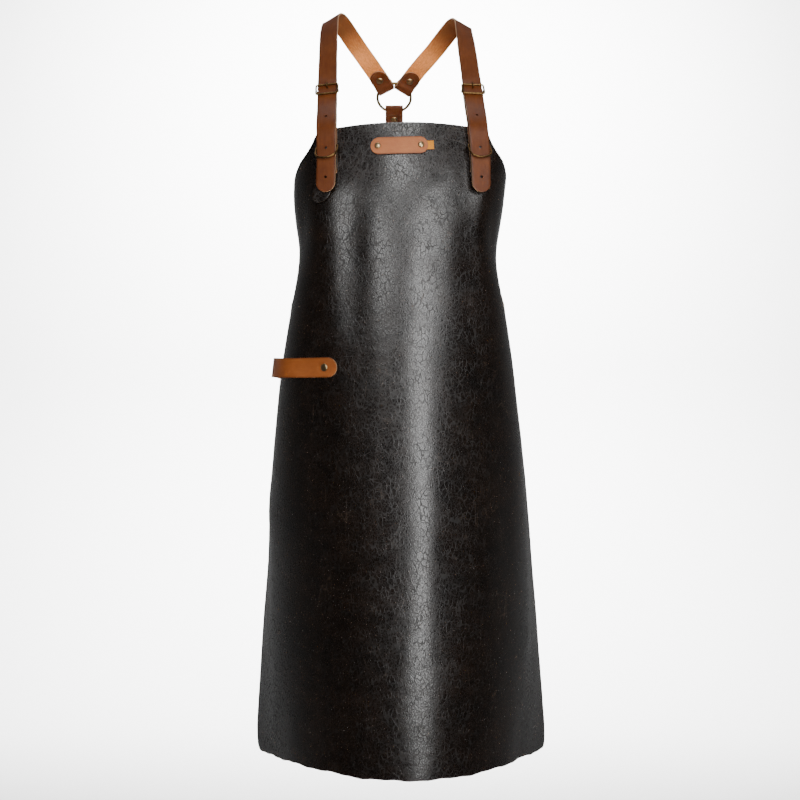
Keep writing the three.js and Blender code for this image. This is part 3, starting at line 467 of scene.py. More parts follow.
class Route:
    """A smooth line through keys, with the direction across a strip all along it."""

    def __init__(self, keys: Sequence[Key], face_sign: int) -> None:
        """Samples the line.

        Args:
            keys: the places that the strip passes.
            face_sign: which side of the strip is its grain side.
        """
        per_key = 40
        count = (len(keys) - 1) * per_key
        share = np.arange(count + 1) / count
        line = np.array([key.at for key in keys])
        widths = np.array([key.across for key in keys])
        self.at = self._curve(line, share)
        step = 1e-4
        ahead = self._curve(line, np.minimum(share + step, 1))
        behind = self._curve(line, np.maximum(share - step, 0))
        self.along = unit(ahead - behind)
        across = self._curve(widths, share)
        across = across - self.along * np.sum(across * self.along, axis=1, keepdims=True)
        self.across = unit(across)
        self.face = np.cross(self.across, self.along) * face_sign
        gaps = np.linalg.norm(np.diff(self.at, axis=0), axis=1)
        self.lengths = np.concatenate(([0], np.cumsum(gaps)))
        self.length = float(self.lengths[-1])

    @staticmethod
    def _curve(points: np.ndarray, share: np.ndarray) -> np.ndarray:
        """Follows a centripetal Catmull-Rom line.

        Args:
            points: the places that it passes.
            share: how far along the line to read it, from 0 to 1.

        Returns:
            One row for each share.
        """
        count = len(points)
        first = 2 * points[0] - points[1]
        last = 2 * points[-1] - points[-2]
        padded = np.vstack((first, points, last))
        spot = share * (count - 1)
        index = np.minimum(np.floor(spot).astype(int), count - 2)
        weight = (spot - index)[:, None]
        p0, p1, p2, p3 = (padded[index + offset] for offset in range(4))
        gap0, gap1, gap2 = (
            np.sum((end - start) ** 2, axis=1, keepdims=True) ** 0.25
            for start, end in ((p0, p1), (p1, p2), (p2, p3))
        )
        gap1 = np.where(gap1 < 1e-4, 1.0, gap1)
        gap0 = np.where(gap0 < 1e-4, gap1, gap0)
        gap2 = np.where(gap2 < 1e-4, gap1, gap2)
        start = ((p1 - p0) / gap0 - (p2 - p0) / (gap0 + gap1) + (p2 - p1) / gap1) * gap1
        end = ((p2 - p1) / gap1 - (p3 - p1) / (gap1 + gap2) + (p3 - p2) / gap2) * gap1
        square = weight ** 2
        cube = weight ** 3
        return (p1 + start * weight + (3 * (p2 - p1) - 2 * start - end) * square
                + (2 * (p1 - p2) + start + end) * cube)

    def place(self, length: float) -> Place:
        """Reads one place between the samples.

        Args:
            length: how far along the line it is.

        Returns:
            The place.
        """
        def read(values: np.ndarray) -> np.ndarray:
            """Returns one place or direction between two samples."""
            return np.array([np.interp(length, self.lengths, values[:, axis]) for axis in range(3)])

        return Place(read(self.at), unit(read(self.across)), unit(read(self.along)), unit(read(self.face)))

    def length_where(self, test: np.ndarray) -> float:
        """Returns the length at the first sample for which a test holds."""
        return float(self.lengths[int(np.argmax(test))])


# Meshes


def deselect_all() -> None:
    """Leaves nothing selected, because an operator acts on all that is selected."""
    if bpy.context.object is not None and bpy.context.object.mode != "OBJECT":
        bpy.ops.object.mode_set(mode="OBJECT")
    bpy.ops.object.select_all(action="DESELECT")


def select_only(piece: bpy.types.Object) -> None:
    """Leaves one piece selected and active.

    Args:
        piece: the piece.
    """
    deselect_all()
    piece.select_set(True)
    bpy.context.view_layer.objects.active = piece


def apply_modifier(piece: bpy.types.Object, kind: str, **settings: object) -> None:
    """Adds a modifier to a piece and applies it.

    Args:
        piece: the piece.
        kind: the modifier's type.
        settings: the modifier's settings.
    """
    modifier = piece.modifiers.new(kind.lower(), kind)
    for name, value in settings.items():
        setattr(modifier, name, value)
    select_only(piece)
    bpy.ops.object.modifier_apply(modifier=modifier.name)


def smooth(piece: bpy.types.Object, angle: float = 40) -> None:
    """Shades a piece smooth where its faces meet at less than an angle in degrees."""
    select_only(piece)
    bpy.ops.object.shade_smooth_by_angle(angle=angle * DEGREE)


def shaped_grid(name: str, places: np.ndarray, flat: np.ndarray) -> bpy.types.Object:
    """Shapes a grid primitive into a sheet.

    Args:
        name: the piece's name.
        places: rows and columns of places in millimetres.
        flat: the same rows and columns on the flat leather, in millimetres, for the UV map.

    Returns:
        The sheet, one face thick.
    """
    rows, columns = places.shape[:2]
    deselect_all()
    bpy.ops.mesh.primitive_grid_add(x_subdivisions=columns - 1, y_subdivisions=rows - 1, size=2)
    piece = bpy.context.object
    piece.name = name
    mesh = piece.data
    mesh.name = name
    start = np.empty(len(mesh.vertices) * 3)
    mesh.vertices.foreach_get("co", start)
    start = start.reshape(-1, 3)
    column = np.rint((start[:, 0] + 1) / 2 * (columns - 1)).astype(int)
    row = np.rint((start[:, 1] + 1) / 2 * (rows - 1)).astype(int)
    mesh.vertices.foreach_set("co", (places[row, column] * MM).ravel())
    corners = np.empty(len(mesh.loops), dtype=np.int32)
    mesh.loops.foreach_get("vertex_index", corners)
    mesh.uv_layers[0].uv.foreach_set("vector", (flat[row, column][corners] * MM).ravel())
    mesh.update()
    return piece


def turn_outward(piece: bpy.types.Object, outward: np.ndarray) -> None:
    """Flips a sheet whose first face points away from a direction.

    Args:
        piece: the sheet.
        outward: the direction that its first face should point to.
    """
    normal = np.array(piece.data.polygons[0].normal)
    if float(np.dot(normal, outward)) < 0:
        select_only(piece)
        bpy.ops.object.mode_set(mode="EDIT")
        bpy.ops.mesh.select_all(action="SELECT")
        bpy.ops.mesh.flip_normals()
        bpy.ops.object.mode_set(mode="OBJECT")


def thicken(piece: bpy.types.Object, thickness: float, offset: float, bevel: float) -> None:
    """Gives a sheet its thickness, with a flesh side and a cut edge, and softens its edges.

    Args:
        piece: the sheet.
        thickness: in millimetres.
        offset: -1 keeps the grain side in place, and 0 keeps the middle.
        bevel: the width of the softened edges, in millimetres.
    """
    for _ in range(3):
        piece.data.materials.append(None)
    apply_modifier(piece, "SOLIDIFY", thickness=thickness * MM, offset=offset, use_even_offset=True,
                   material_offset=1, material_offset_rim=2)
    if bevel > 0:
        apply_modifier(piece, "BEVEL", width=bevel * MM, segments=2, limit_method="ANGLE",
                       angle_limit=50 * DEGREE)
    smooth(piece, CUT_ANGLE)


@dataclass
class Strip:
    """A flat strip of leather along a route."""

    name: str
    route: Route
    width: float
    thickness: float
    start: float = 0
    end: Optional[float] = None
    round_start: bool = True
    round_end: bool = True
    lean: Callable[[float], float] = lambda length: 0.0
    columns: int = 8
    stride: float = 2.6
    wander: float = 0.25
    origin: float = 0

    def stations(self) -> tuple[np.ndarray, np.ndarray]:
        """Works out where the strip's rows are.

        Returns:
            Their lengths along the route and their half widths.
        """
        half = self.width / 2
        end = self.route.length if self.end is None else self.end
        first = self.start + (half if self.round_start else 0)
        last = end - (half if self.round_end else 0)
        count = max(int((last - first) / self.stride), 2)
        lengths = list(np.linspace(first, last, count + 1))
        halves = [half] * len(lengths)
        for angle in np.linspace(4, 84, 13):
            reach = half * (1 - math.cos(angle * DEGREE))
            narrow = half * math.sin(angle * DEGREE)
            if self.round_start:
                lengths.append(self.start + reach)
                halves.append(narrow)
            if self.round_end:
                lengths.append(end - reach)
                halves.append(narrow)
        order = np.argsort(lengths)
        return np.array(lengths)[order], np.array(halves)[order]

    def build(self, bevel: float = 0.35) -> bpy.types.Object:
        """Makes the strip.

        Args:
            bevel: how soft its cut edges are, in millimetres.

        Returns:
            The strip with its grain, flesh and edge faces.
        """
        lengths, halves = self.stations()
        shares = np.linspace(-1, 1, self.columns + 1)
        places = np.empty((len(lengths), len(shares), 3))
        flat = np.empty((len(lengths), len(shares), 2))
        seed = sum(ord(letter) for letter in self.name)
        for row, (length, half) in enumerate(zip(lengths, halves)):
            spot = self.route.place(float(length))
            shift = self.lean(float(length))
            wave = self.wander * uneven(length, (13, 5.3), (seed, 2 * seed))
            wide = half + 0.4 * wave * half / (self.width / 2)
            places[row] = spot.at + np.outer(shares * wide + shift, spot.across)
            flat[row] = np.stack((np.full(len(shares), length - self.origin), shares * half), axis=-1)
        piece = shaped_grid(self.name, places, flat)
        turn_outward(piece, self.route.place(float(lengths[0])).face)
        thicken(piece, self.thickness, 0, bevel)
        return piece


def wire_piece(name: str, spots: Sequence[np.ndarray], diameter: float, closed: bool,
               matrix: Matrix) -> bpy.types.Object:
    """Makes round wire along places in local axes.

    Args:
        name: the piece's name.
        spots: places in millimetres in the local axes.
        diameter: the wire's diameter.
        closed: whether it joins up with itself.
        matrix: where the local axes are.

    Returns:
        The wire as a mesh.
    """
    curve = bpy.data.curves.new(name, "CURVE")
    curve.dimensions = "3D"
    curve.bevel_depth = diameter / 2 * MM
    curve.bevel_resolution = 4
    curve.use_fill_caps = True
    spline = curve.splines.new("POLY")
    spline.points.add(len(spots) - 1)
    for control, spot in zip(spline.points, spots):
        control.co = (*(float(value) * MM for value in spot), 1)
    spline.use_cyclic_u = closed
    piece = bpy.data.objects.new(name, curve)
    bpy.context.collection.objects.link(piece)
    select_only(piece)
    bpy.ops.object.convert(target="MESH")
    piece = bpy.context.object
    piece.data.transform(matrix)
    smooth(piece, WIRE_ANGLE)
    return piece


def arc(centre: tuple[float, float], radii: tuple[float, float], start: float, end: float,
        steps: int) -> list[np.ndarray]:
    """Gives places on an elliptic arc in the local X and Y.

    Args:
        centre: the arc's centre.
        radii: its radius along X and along Y.
        start: its first angle in degrees.
        end: its last angle in degrees.
        steps: how many parts it has.

    Returns:
        The places, one more than the steps.
    """
    angles = np.linspace(start, end, steps + 1) * DEGREE
    return [point(centre[0] + radii[0] * math.cos(angle), centre[1] + radii[1] * math.sin(angle), 0)
            for angle in angles]


def join(pieces: Sequence[bpy.types.Object], name: str) -> bpy.types.Object:
    """Joins pieces into the first of them.

    Args:
        pieces: the pieces.
        name: the joined piece's name.

    Returns:
        The joined piece.
    """
    deselect_all()
    for piece in pieces:
        piece.select_set(True)
    bpy.context.view_layer.objects.active = pieces[0]
    bpy.ops.object.join()
    pieces[0].name = name
    pieces[0].data.name = name
    return pieces[0]


def turned_piece(name: str, profile: Sequence[tuple[float, float]], matrix: Matrix,
                 segments: int = 40) -> bpy.types.Object:
    """Turns a profile round the local Z axis.

    Args:
        name: the piece's name.
        profile: radius and height of each ring in millimetres, from the bottom up.
        matrix: where the local axes are.
        segments: how many sides it has.

    Returns:
        The closed turned piece.
    """
    deselect_all()
    radius, height = profile[0]
    bpy.ops.mesh.primitive_circle_add(vertices=segments, radius=radius * MM, fill_type="NGON",
                                      location=(0, 0, height * MM))
    piece = bpy.context.object
    piece.name = name
    bpy.ops.object.transform_apply(location=True, rotation=True, scale=True)
    bpy.ops.object.mode_set(mode="EDIT")
    bpy.ops.mesh.select_all(action="SELECT")
    for next_radius, next_height in profile[1:]:
        rise = (next_height - height) * MM
        bpy.ops.mesh.extrude_region_move(TRANSFORM_OT_translate={"value": (0, 0, rise)})
        ratio = next_radius / radius
        bpy.ops.transform.resize(value=(ratio, ratio, 1), center_override=(0, 0, next_height * MM))
        radius, height = next_radius, next_height
    bpy.ops.mesh.select_all(action="SELECT")
    bpy.ops.mesh.normals_make_consistent(inside=False)
    bpy.ops.object.mode_set(mode="OBJECT")
    piece.data.transform(matrix)
    smooth(piece, 32)
    return piece


def cut(piece: bpy.types.Object, cutter: bpy.types.Object) -> None:
    """Cuts a closed piece out of another one and removes the cutter.

    Args:
        piece: the piece that is cut.
        cutter: the piece that is taken out of it.
    """
    apply_modifier(piece, "BOOLEAN", operation="DIFFERENCE", object=cutter, solver="EXACT")
    mesh = cutter.data
    bpy.data.objects.remove(cutter)
    bpy.data.meshes.remove(mesh)
    smooth(piece, CUT_ANGLE)


def punch(piece: bpy.types.Object, holes: Sequence[tuple[Place, float]]) -> None:
    """Cuts round holes through a strip.

    Args:
        piece: the strip.
        holes: each hole's place and radius in millimetres.
    """
    cutters = []
    for place, radius in holes:
        deselect_all()
        bpy.ops.mesh.primitive_cylinder_add(vertices=20, radius=radius * MM, depth=12 * MM)
        cutter = bpy.context.object
        cutter.data.transform(place.matrix())
        cutters.append(cutter)
    cut(piece, join(cutters, "punch_cutter"))


# Materials


class Value:
    """A socket in a node tree on which ordinary arithmetic builds Math nodes."""

    def __init__(self, paint: "Paint", socket: bpy.types.NodeSocket) -> None:
        """Keeps the tree and the socket."""
        self.paint = paint
        self.socket = socket

    def _math(self, operation: str, first: object, second: object = None) -> "Value":
        """Returns a Math node's result."""
        sockets = {0: first} if second is None else {0: first, 1: second}
        return self.paint.node("ShaderNodeMath", {"operation": operation}, sockets)

    def __add__(self, other: object) -> "Value":
        """Returns the sum."""
        return self._math("ADD", self, other)

    __radd__ = __add__

    def __sub__(self, other: object) -> "Value":
        """Returns the difference."""
        return self._math("SUBTRACT", self, other)

    def __rsub__(self, other: object) -> "Value":
        """Returns the difference the other way round."""
        return self._math("SUBTRACT", other, self)

    def __mul__(self, other: object) -> "Value":
        """Returns the product."""
        return self._math("MULTIPLY", self, other)

    def size(self) -> "Value":
        """Returns the value without its sign."""
        return self._math("ABSOLUTE", self)

    def sine(self) -> "Value":
        """Returns the sine of the value in radians."""
        return self._math("SINE", self)

    def between(self, low: float, high: float) -> "Value":
        """Stretches a range of values smoothly from 0 to 1.

        Args:
            low: the value that becomes 0.
            high: the value that becomes 1.

        Returns:
            The stretched value, held within its limits.
        """
        return self.paint.node("ShaderNodeMapRange", {"interpolation_type": "SMOOTHSTEP"},
                               {"Value": self, "From Min": low, "From Max": high})


class Paint:
    """One material's node tree and the short ways to add to it."""

    def __init__(self, name: str) -> None:
        """Starts a material with a Principled shader.

        Args:
            name: the material's name.
        """
        self.material = bpy.data.materials.new(name)
        self.material.use_nodes = True
        self.tree = self.material.node_tree
        self.tree.nodes.clear()
        output = self.tree.nodes.new("ShaderNodeOutputMaterial")
        self.shader = self.tree.nodes.new("ShaderNodeBsdfPrincipled")
        self.tree.links.new(self.shader.outputs[0], output.inputs[0])

    def node(self, kind: str, settings: Optional[dict] = None, sockets: Optional[dict] = None,
             result: object = 0) -> Value:
        """Adds any node.

        Args:
            kind: the node's type.
            settings: its settings, which are set first.
            sockets: values or links of its sockets, by name or number.
            result: the name or number of the output to return.

        Returns:
            The output.
        """
        added = self.tree.nodes.new(kind)
        for name, value in (settings or {}).items():
            setattr(added, name, value)
        for name, value in (sockets or {}).items():
            if isinstance(value, Value):
                self.tree.links.new(value.socket, added.inputs[name])
            else:
                added.inputs[name].default_value = value
        return Value(self, added.outputs[result])

    def coordinates(self, source: "Grid", scale: Sequence[float] = (1, 1, 1), turn: float = 0) -> Value:
        """Gives pattern coordinates in metres.

        Args:
            source: where they come from.
            scale: how much each axis is stretched.
            turn: a turn about Z in degrees.

        Returns:
            The coordinates.
        """
        raw = self.node("ShaderNodeTexCoord", result=source.value)
        if tuple(scale) == (1, 1, 1) and turn == 0:
            return raw
        return self.node("ShaderNodeMapping", {}, {
            "Vector": raw, "Scale": tuple(scale), "Rotation": (0, 0, turn * DEGREE)})

    def noise(self, where: Value, scale: float, detail: float = 3, rough: float = 0.55,
              warp: float = 0) -> Value:
        """Returns soft noise from 0 to 1, with a scale in cycles a metre."""
        return self.node("ShaderNodeTexNoise", {"noise_dimensions": "3D"}, {
            "Vector": where, "Scale": scale, "Detail": detail, "Roughness": rough, "Distortion": warp})

    def ridges(self, where: Value, scale: float, detail: float = 3, warp: float = 0) -> Value:
        """Returns fine crossing crease lines: 1 on a line and 0 away from it."""
        base = self.noise(where, scale, detail, 0.6, warp)
        return 1 - ((base - 0.5).size() * 9).between(0, 1)

    def cells(self, where: Value, scale: float) -> Value:
        """Returns the distance to the edges of random cells."""
        return self.node("ShaderNodeTexVoronoi", {"feature": "DISTANCE_TO_EDGE"},
                         {"Vector": where, "Scale": scale})

    def axis(self, where: Value, number: int) -> Value:
        """Returns one axis of pattern coordinates: 0 for X and 1 for Y."""
        return self.node("ShaderNodeSeparateXYZ", {}, {0: where}, number)

    def warped(self, where: Value, scale: float, amount: float) -> Value:
        """Moves pattern coordinates about by noise.

        Args:
            where: the coordinates.
            scale: the noise's scale.
            amount: how far it moves them, in metres.

        Returns:
            The moved coordinates.
        """
        push = self.node("ShaderNodeTexNoise", {}, {"Vector": where, "Scale": scale, "Detail": 2.0}, "Color")
        centred = self.node("ShaderNodeVectorMath", {"operation": "SUBTRACT"}, {0: push, 1: (0.5, 0.5, 0.5)})
        scaled = self.node("ShaderNodeVectorMath", {"operation": "SCALE"}, {0: centred, "Scale": amount})
        return self.node("ShaderNodeVectorMath", {"operation": "ADD"}, {0: where, 1: scaled})

    def mix(self, share: Value, first: object, second: object) -> Value:
        """Mixes two colours.

        Args:
            share: how much of the second colour there is, from 0 to 1.
            first: a fixed or varying colour.
            second: a fixed or varying colour.

        Returns:
            The mixed colour.
        """
        added = self.tree.nodes.new("ShaderNodeMix")
        added.data_type = "RGBA"
        sockets = {0: share, 6: first, 7: second}
        for index, value in sockets.items():
            if isinstance(value, Value):
                self.tree.links.new(value.socket, added.inputs[index])
            else:
                added.inputs[index].default_value = (*value, 1)
        return Value(self, added.outputs[2])

    def bump(self, *layers: tuple[Value, float, float]) -> Value:
        """Stacks bump layers.

        Args:
            layers: each layer's height, strength and distance in millimetres.

        Returns:
            The normal.
        """
        normal = None
        for height, strength, distance in layers:
            sockets = {"Height": height, "Strength": strength, "Distance": distance * MM}
            if normal is not None:
                sockets["Normal"] = normal
            normal = self.node("ShaderNodeBump", {}, sockets)
        return normal

    def finish(self, colour: object, roughness: object, normal: Optional[Value] = None,
               **constants: object) -> bpy.types.Material:
        """Feeds the shader.

        Args:
            colour: the base colour, fixed or varying.
            roughness: fixed or varying.
            normal: the bumped normal.
            constants: other shader sockets, by name with underscores.

        Returns:
            The material.
        """
        sockets = {"Base Color": colour, "Roughness": roughness}
        if normal is not None:
            sockets["Normal"] = normal
        sockets.update({name.replace("_", " "): value for name, value in constants.items()})
        for name, value in sockets.items():
            if isinstance(value, Value):
                self.tree.links.new(value.socket, self.shader.inputs[name])
            elif name == "Base Color":
                self.shader.inputs[name].default_value = (*value, 1)
            else:
                self.shader.inputs[name].default_value = value
        return self.material


class Grid(Enum):
    """Where a pattern's coordinates come from: the piece's place, or the flat leather."""

    PLACE = "Object"
    FLAT = "UV"


@dataclass(frozen=True)
class WaxedGrain:
    """Dark waxed grain leather of the panel, with wide and fine cracks between pads and rubbed scratches."""

    dark: Colour = (0.0026, 0.0014, 0.0008)
    light: Colour = (0.0105, 0.0052, 0.0027)
    rubbed: Colour = (0.045, 0.029, 0.019)
    roughness: float = 0.21

    def material(self) -> bpy.types.Material:
        """Builds the material.

        Returns:
            The finished material.
        """
        paint = Paint("waxed_panel_grain")
        flat = paint.coordinates(Grid.FLAT)
        clouds = paint.noise(flat, 11, 4, 0.6)
        swells = paint.noise(paint.warped(flat, 16, 0.02), 24, 3, 0.5)
        patches = paint.noise(paint.warped(flat, 30, 0.012), 46, 4, 0.62)
        slanted = paint.coordinates(Grid.FLAT, (1.5, 0.85, 1), 24)
        broken = paint.noise(flat, 52, 4, 0.6).between(0.40, 0.58)
        wide_cells = paint.cells(paint.warped(slanted, 75, 0.012), 120)
        wide_cracks = (1 - wide_cells.between(0.0, 0.085)) * broken
        fine_cells = paint.cells(paint.warped(slanted, 190, 0.005), 290)
        fine_cracks = (1 - fine_cells.between(0.0, 0.17)) * (1.15 - broken * 0.5)
        pads = fine_cells.between(0.0, 0.5)
        pores = paint.noise(flat, 1300, 2, 0.6)
        long_marks = paint.cells(paint.warped(paint.coordinates(Grid.FLAT, (34, 5.5, 1), 38), 3, 0.35), 1.0)
        cross_marks = paint.cells(paint.warped(paint.coordinates(Grid.FLAT, (7, 30, 1), 21), 3, 0.3), 1.0)
        where_rubbed = paint.noise(flat, 17, 3, 0.6).between(0.5, 0.66)
        marks = ((1 - long_marks.between(0.0, 0.02)) + (1 - cross_marks.between(0.0, 0.016))) * where_rubbed
        tone = (clouds * 0.5 + patches * 0.7 - 0.1).between(0.25, 0.85)
        colour = paint.mix(tone, self.dark, self.light)
        colour = paint.mix((marks * 0.45).between(0, 1), colour, self.rubbed)
        rough = (self.roughness + (patches - 0.5) * 0.12 + (swells - 0.5) * 0.12 + marks * 0.06
                 + wide_cracks * 0.26 + fine_cracks * 0.16)
        normal = paint.bump(
            (swells, 0.5, 1.3),
            (patches, 0.25, 0.4),
            (1 - wide_cracks, 0.4, 0.18),
            (pads, 0.38, 0.11),
            (pores, 0.2, 0.04),
            (marks, 0.2, 0.08),
        )
        return paint.finish(colour, rough, normal, Specular_IOR_Level=0.55)


@dataclass(frozen=True)
class TannedGrain:
    """Smooth vegetable-tanned grain of straps, patch and towel loop."""

    name: str
    dark: Colour
    light: Colour
    half_width: float
    roughness: float = 0.46
    edge_tone: float = 0.55
    edge_reach: float = 2.4

    def material(self) -> bpy.types.Material:
        """Builds the material.

        Returns:
            The finished material.
        """
        paint = Paint(self.name)
        flat = paint.coordinates(Grid.FLAT)
        clouds = paint.noise(flat, 28, 4, 0.6)
        fibres = paint.noise(paint.coordinates(Grid.FLAT, (0.35, 1.6, 1)), 190, 4, 0.6)
        pores = paint.cells(paint.warped(flat, 600, 0.0008), 1100).between(0.0, 0.3)
        wrinkles = paint.ridges(paint.warped(flat, 160, 0.003), 130, 4, 0.5)
        margin = (self.half_width * MM - paint.axis(flat, 1).size()).between(0.0, self.edge_reach * MM)
        tone = (clouds * 0.75 + fibres * 0.45 - 0.1).between(0.2, 0.85)
        colour = paint.mix(tone, self.dark, self.light)
        colour = paint.mix(wrinkles * 0.16, colour, self.dark)
        edge_colour = tuple(part * self.edge_tone for part in self.dark)
        colour = paint.mix((1 - margin) * 0.7, colour, edge_colour)
        rough = self.roughness + (fibres - 0.5) * 0.2 + (clouds - 0.5) * 0.1
        normal = paint.bump((clouds, 0.2, 0.6), (wrinkles, 0.22, 0.2), (pores, 0.35, 0.08))
        return paint.finish(colour, rough, normal, Specular_IOR_Level=0.32)


@dataclass(frozen=True)
class FleshSide:
    """Napped inner side of the leather."""

    name: str
    dark: Colour
    light: Colour
    # How dark the painted shade near the top of the shoulder is, and how far along the strap it reaches.
    shade_tone: float = 0
    shade_reach: float = 74

    def material(self) -> bpy.types.Material:
        """Builds the material, with painted shade that darkens it near the top of the shoulder, where the
        flat length is 0.

        Returns:
            The finished material.
        """
        paint = Paint(self.name)
        flat = paint.coordinates(Grid.FLAT)
        clouds = paint.noise(flat, 22, 4, 0.6)
        nap = paint.noise(paint.warped(flat, 300, 0.002), 900, 5, 0.7)
        strands = paint.noise(paint.coordinates(Grid.FLAT, (0.5, 1.5, 1), 12), 420, 4, 0.7, 0.8)
        colour = paint.mix((clouds * 0.45 + strands * 0.9 - 0.17).between(0.3, 0.72), self.dark, self.light)
        # Painted shade: the flesh side darkens towards the top of the shoulder, where the strap bends over
        # and its underside lies in shadow.
        if self.shade_tone > 0:
            near = 1 - paint.axis(flat, 0).size().between(self.shade_reach * 0.3 * MM, self.shade_reach * MM)
            shade_colour = tuple(part * self.shade_tone for part in self.dark)
            colour = paint.mix(near * 0.92, colour, shade_colour)
        normal = paint.bump((strands, 0.4, 0.25), (nap, 0.55, 0.16))
        return paint.finish(colour, 0.88 + (nap - 0.5) * 0.14, normal, Specular_IOR_Level=0.25)


@dataclass(frozen=True)
class CutEdge:
    """Cut edge of the leather with its layers of fibre."""

    name: str
    dark: Colour
    light: Colour

    def material(self) -> bpy.types.Material:
        """Builds the material.

        Returns:
            The finished material.
        """
        paint = Paint(self.name)
        place = paint.coordinates(Grid.PLACE)
        fibre = paint.noise(place, 900, 4, 0.65)
        patches = paint.noise(place, 70, 3, 0.6)
        colour = paint.mix((fibre * 0.6 + patches * 0.6 - 0.1).between(0.2, 0.85), self.dark, self.light)
        return paint.finish(colour, 0.66, paint.bump((fibre, 0.4, 0.15)))


@dataclass(frozen=True)
class AntiqueBrass:
    """Worn brass or bronze, darker where it isn't rubbed."""

    name: str
    tarnish: Colour
    bright: Colour
    roughness: float = 0.27

    def material(self) -> bpy.types.Material:
        """Builds the material.

        Returns:
            The finished material.
        """
        paint = Paint(self.name)
        place = paint.coordinates(Grid.PLACE)
        clouds = paint.noise(place, 240, 4, 0.62)
        specks = paint.noise(place, 1900, 3, 0.6)
        scratches = paint.noise(paint.coordinates(Grid.PLACE, (1, 1, 6)), 700, 3, 0.6)
        worn = (clouds * 0.8 + specks * 0.35 - 0.1).between(0.22, 0.72)
        colour = paint.mix(worn, self.tarnish, self.bright)
        rough = self.roughness + (1 - worn) * 0.16 + (scratches - 0.5) * 0.14
        normal = paint.bump((specks, 0.18, 0.06), (scratches, 0.12, 0.05))
        return paint.finish(colour, rough, normal, Metallic=1.0)


@dataclass(frozen=True)
class WovenLabel:
    """Plain woven cloth of the small label."""

    thread: Colour = (1.0, 0.40, 0.025)
    shade: Colour = (0.50, 0.16, 0.012)
    pitch: float = 0.42

    def material(self) -> bpy.types.Material:
        """Builds the material.

        Returns:
            The finished material.
        """
        paint = Paint("woven_label")
        cycles = 2 * math.pi / (self.pitch * MM)
        flat = paint.coordinates(Grid.FLAT)
        warp = (paint.axis(flat, 0) * cycles).sine().size()
        weft = (paint.axis(flat, 1) * cycles).sine().size()
        weave = warp * weft
        fuzz = paint.noise(flat, 2600, 3, 0.6)
        colour = paint.mix((weave * 0.8 + fuzz * 0.4 - 0.1).between(0, 1), self.shade, self.thread)
        return paint.finish(colour, 0.82, paint.bump((weave, 0.6, 0.15), (fuzz, 0.3, 0.08)))


class Finishes:
    """Every finish of the apron, made once."""

    def __init__(self) -> None:
        """Builds the materials."""
        sizes = SIZES
        self.panel = (
            WaxedGrain().material(),
            FleshSide("panel_flesh", (0.070, 0.042, 0.028), (0.150, 0.092, 0.060)).material(),
            CutEdge("panel_edge", (0.030, 0.020, 0.014), (0.085, 0.055, 0.037)).material(),
        )
        strap_flesh = FleshSide("strap_flesh", (0.58, 0.185, 0.044), (0.88, 0.33, 0.09)).material()
        strap_edge = CutEdge("strap_edge", (0.30, 0.155, 0.075), (0.56, 0.33, 0.18)).material()
        self.strap = (
            TannedGrain("strap_grain", (0.082, 0.0185, 0.0024), (0.160, 0.043, 0.0078),
                        sizes.strap_width / 2).material(),
            strap_flesh,
            strap_edge,
        )
        self.shoulder = (
            self.strap[0],
            # The shoulder straps' flesh side carries painted shade near the top of the shoulder.
            FleshSide("shoulder_flesh", (0.58, 0.185, 0.044), (0.88, 0.33, 0.09), 0.2).material(),
            strap_edge,
        )
        self.loop = (
            TannedGrain("loop_grain", (0.19, 0.049, 0.0075), (0.29, 0.083, 0.017),
                        sizes.loop_height / 2).material(),
            strap_flesh,
            strap_edge,
        )
        self.patch = (
            TannedGrain("patch_grain", (0.34, 0.105, 0.034), (0.47, 0.165, 0.060),
                        sizes.patch_height / 2, 0.5, 0.42).material(),
            strap_flesh,
            CutEdge("patch_edge", (0.10, 0.040, 0.024), (0.20, 0.085, 0.050)).material(),
        )
        self.label = WovenLabel().material()
        self.rivet = AntiqueBrass("rivet_brass", (0.17, 0.108, 0.05), (0.60, 0.45, 0.25), 0.24).material()
        self.wire = AntiqueBrass("wire_bronze", (0.060, 0.032, 0.013), (0.27, 0.158, 0.06), 0.26).material()


def dress(piece: bpy.types.Object, materials: Sequence[bpy.types.Material], node: str) -> None:
    """Gives a piece its materials, its place in the frame and the node that it stands for.

    Args:
        piece: the piece.
        materials: one material, or the grain, flesh and edge materials.
        node: the CAD node that it replaces.
    """
    slots = piece.data.materials
    while len(slots) < len(materials):
        slots.append(None)
    for index, material in enumerate(materials):
        slots[index] = material
    while len(slots) > len(materials):
        slots.pop()
    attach(piece, ROOT_BODY)
    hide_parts(node)
    LOG.info("%s has %d faces", piece.name, len(piece.data.polygons))


# Sub-assemblies


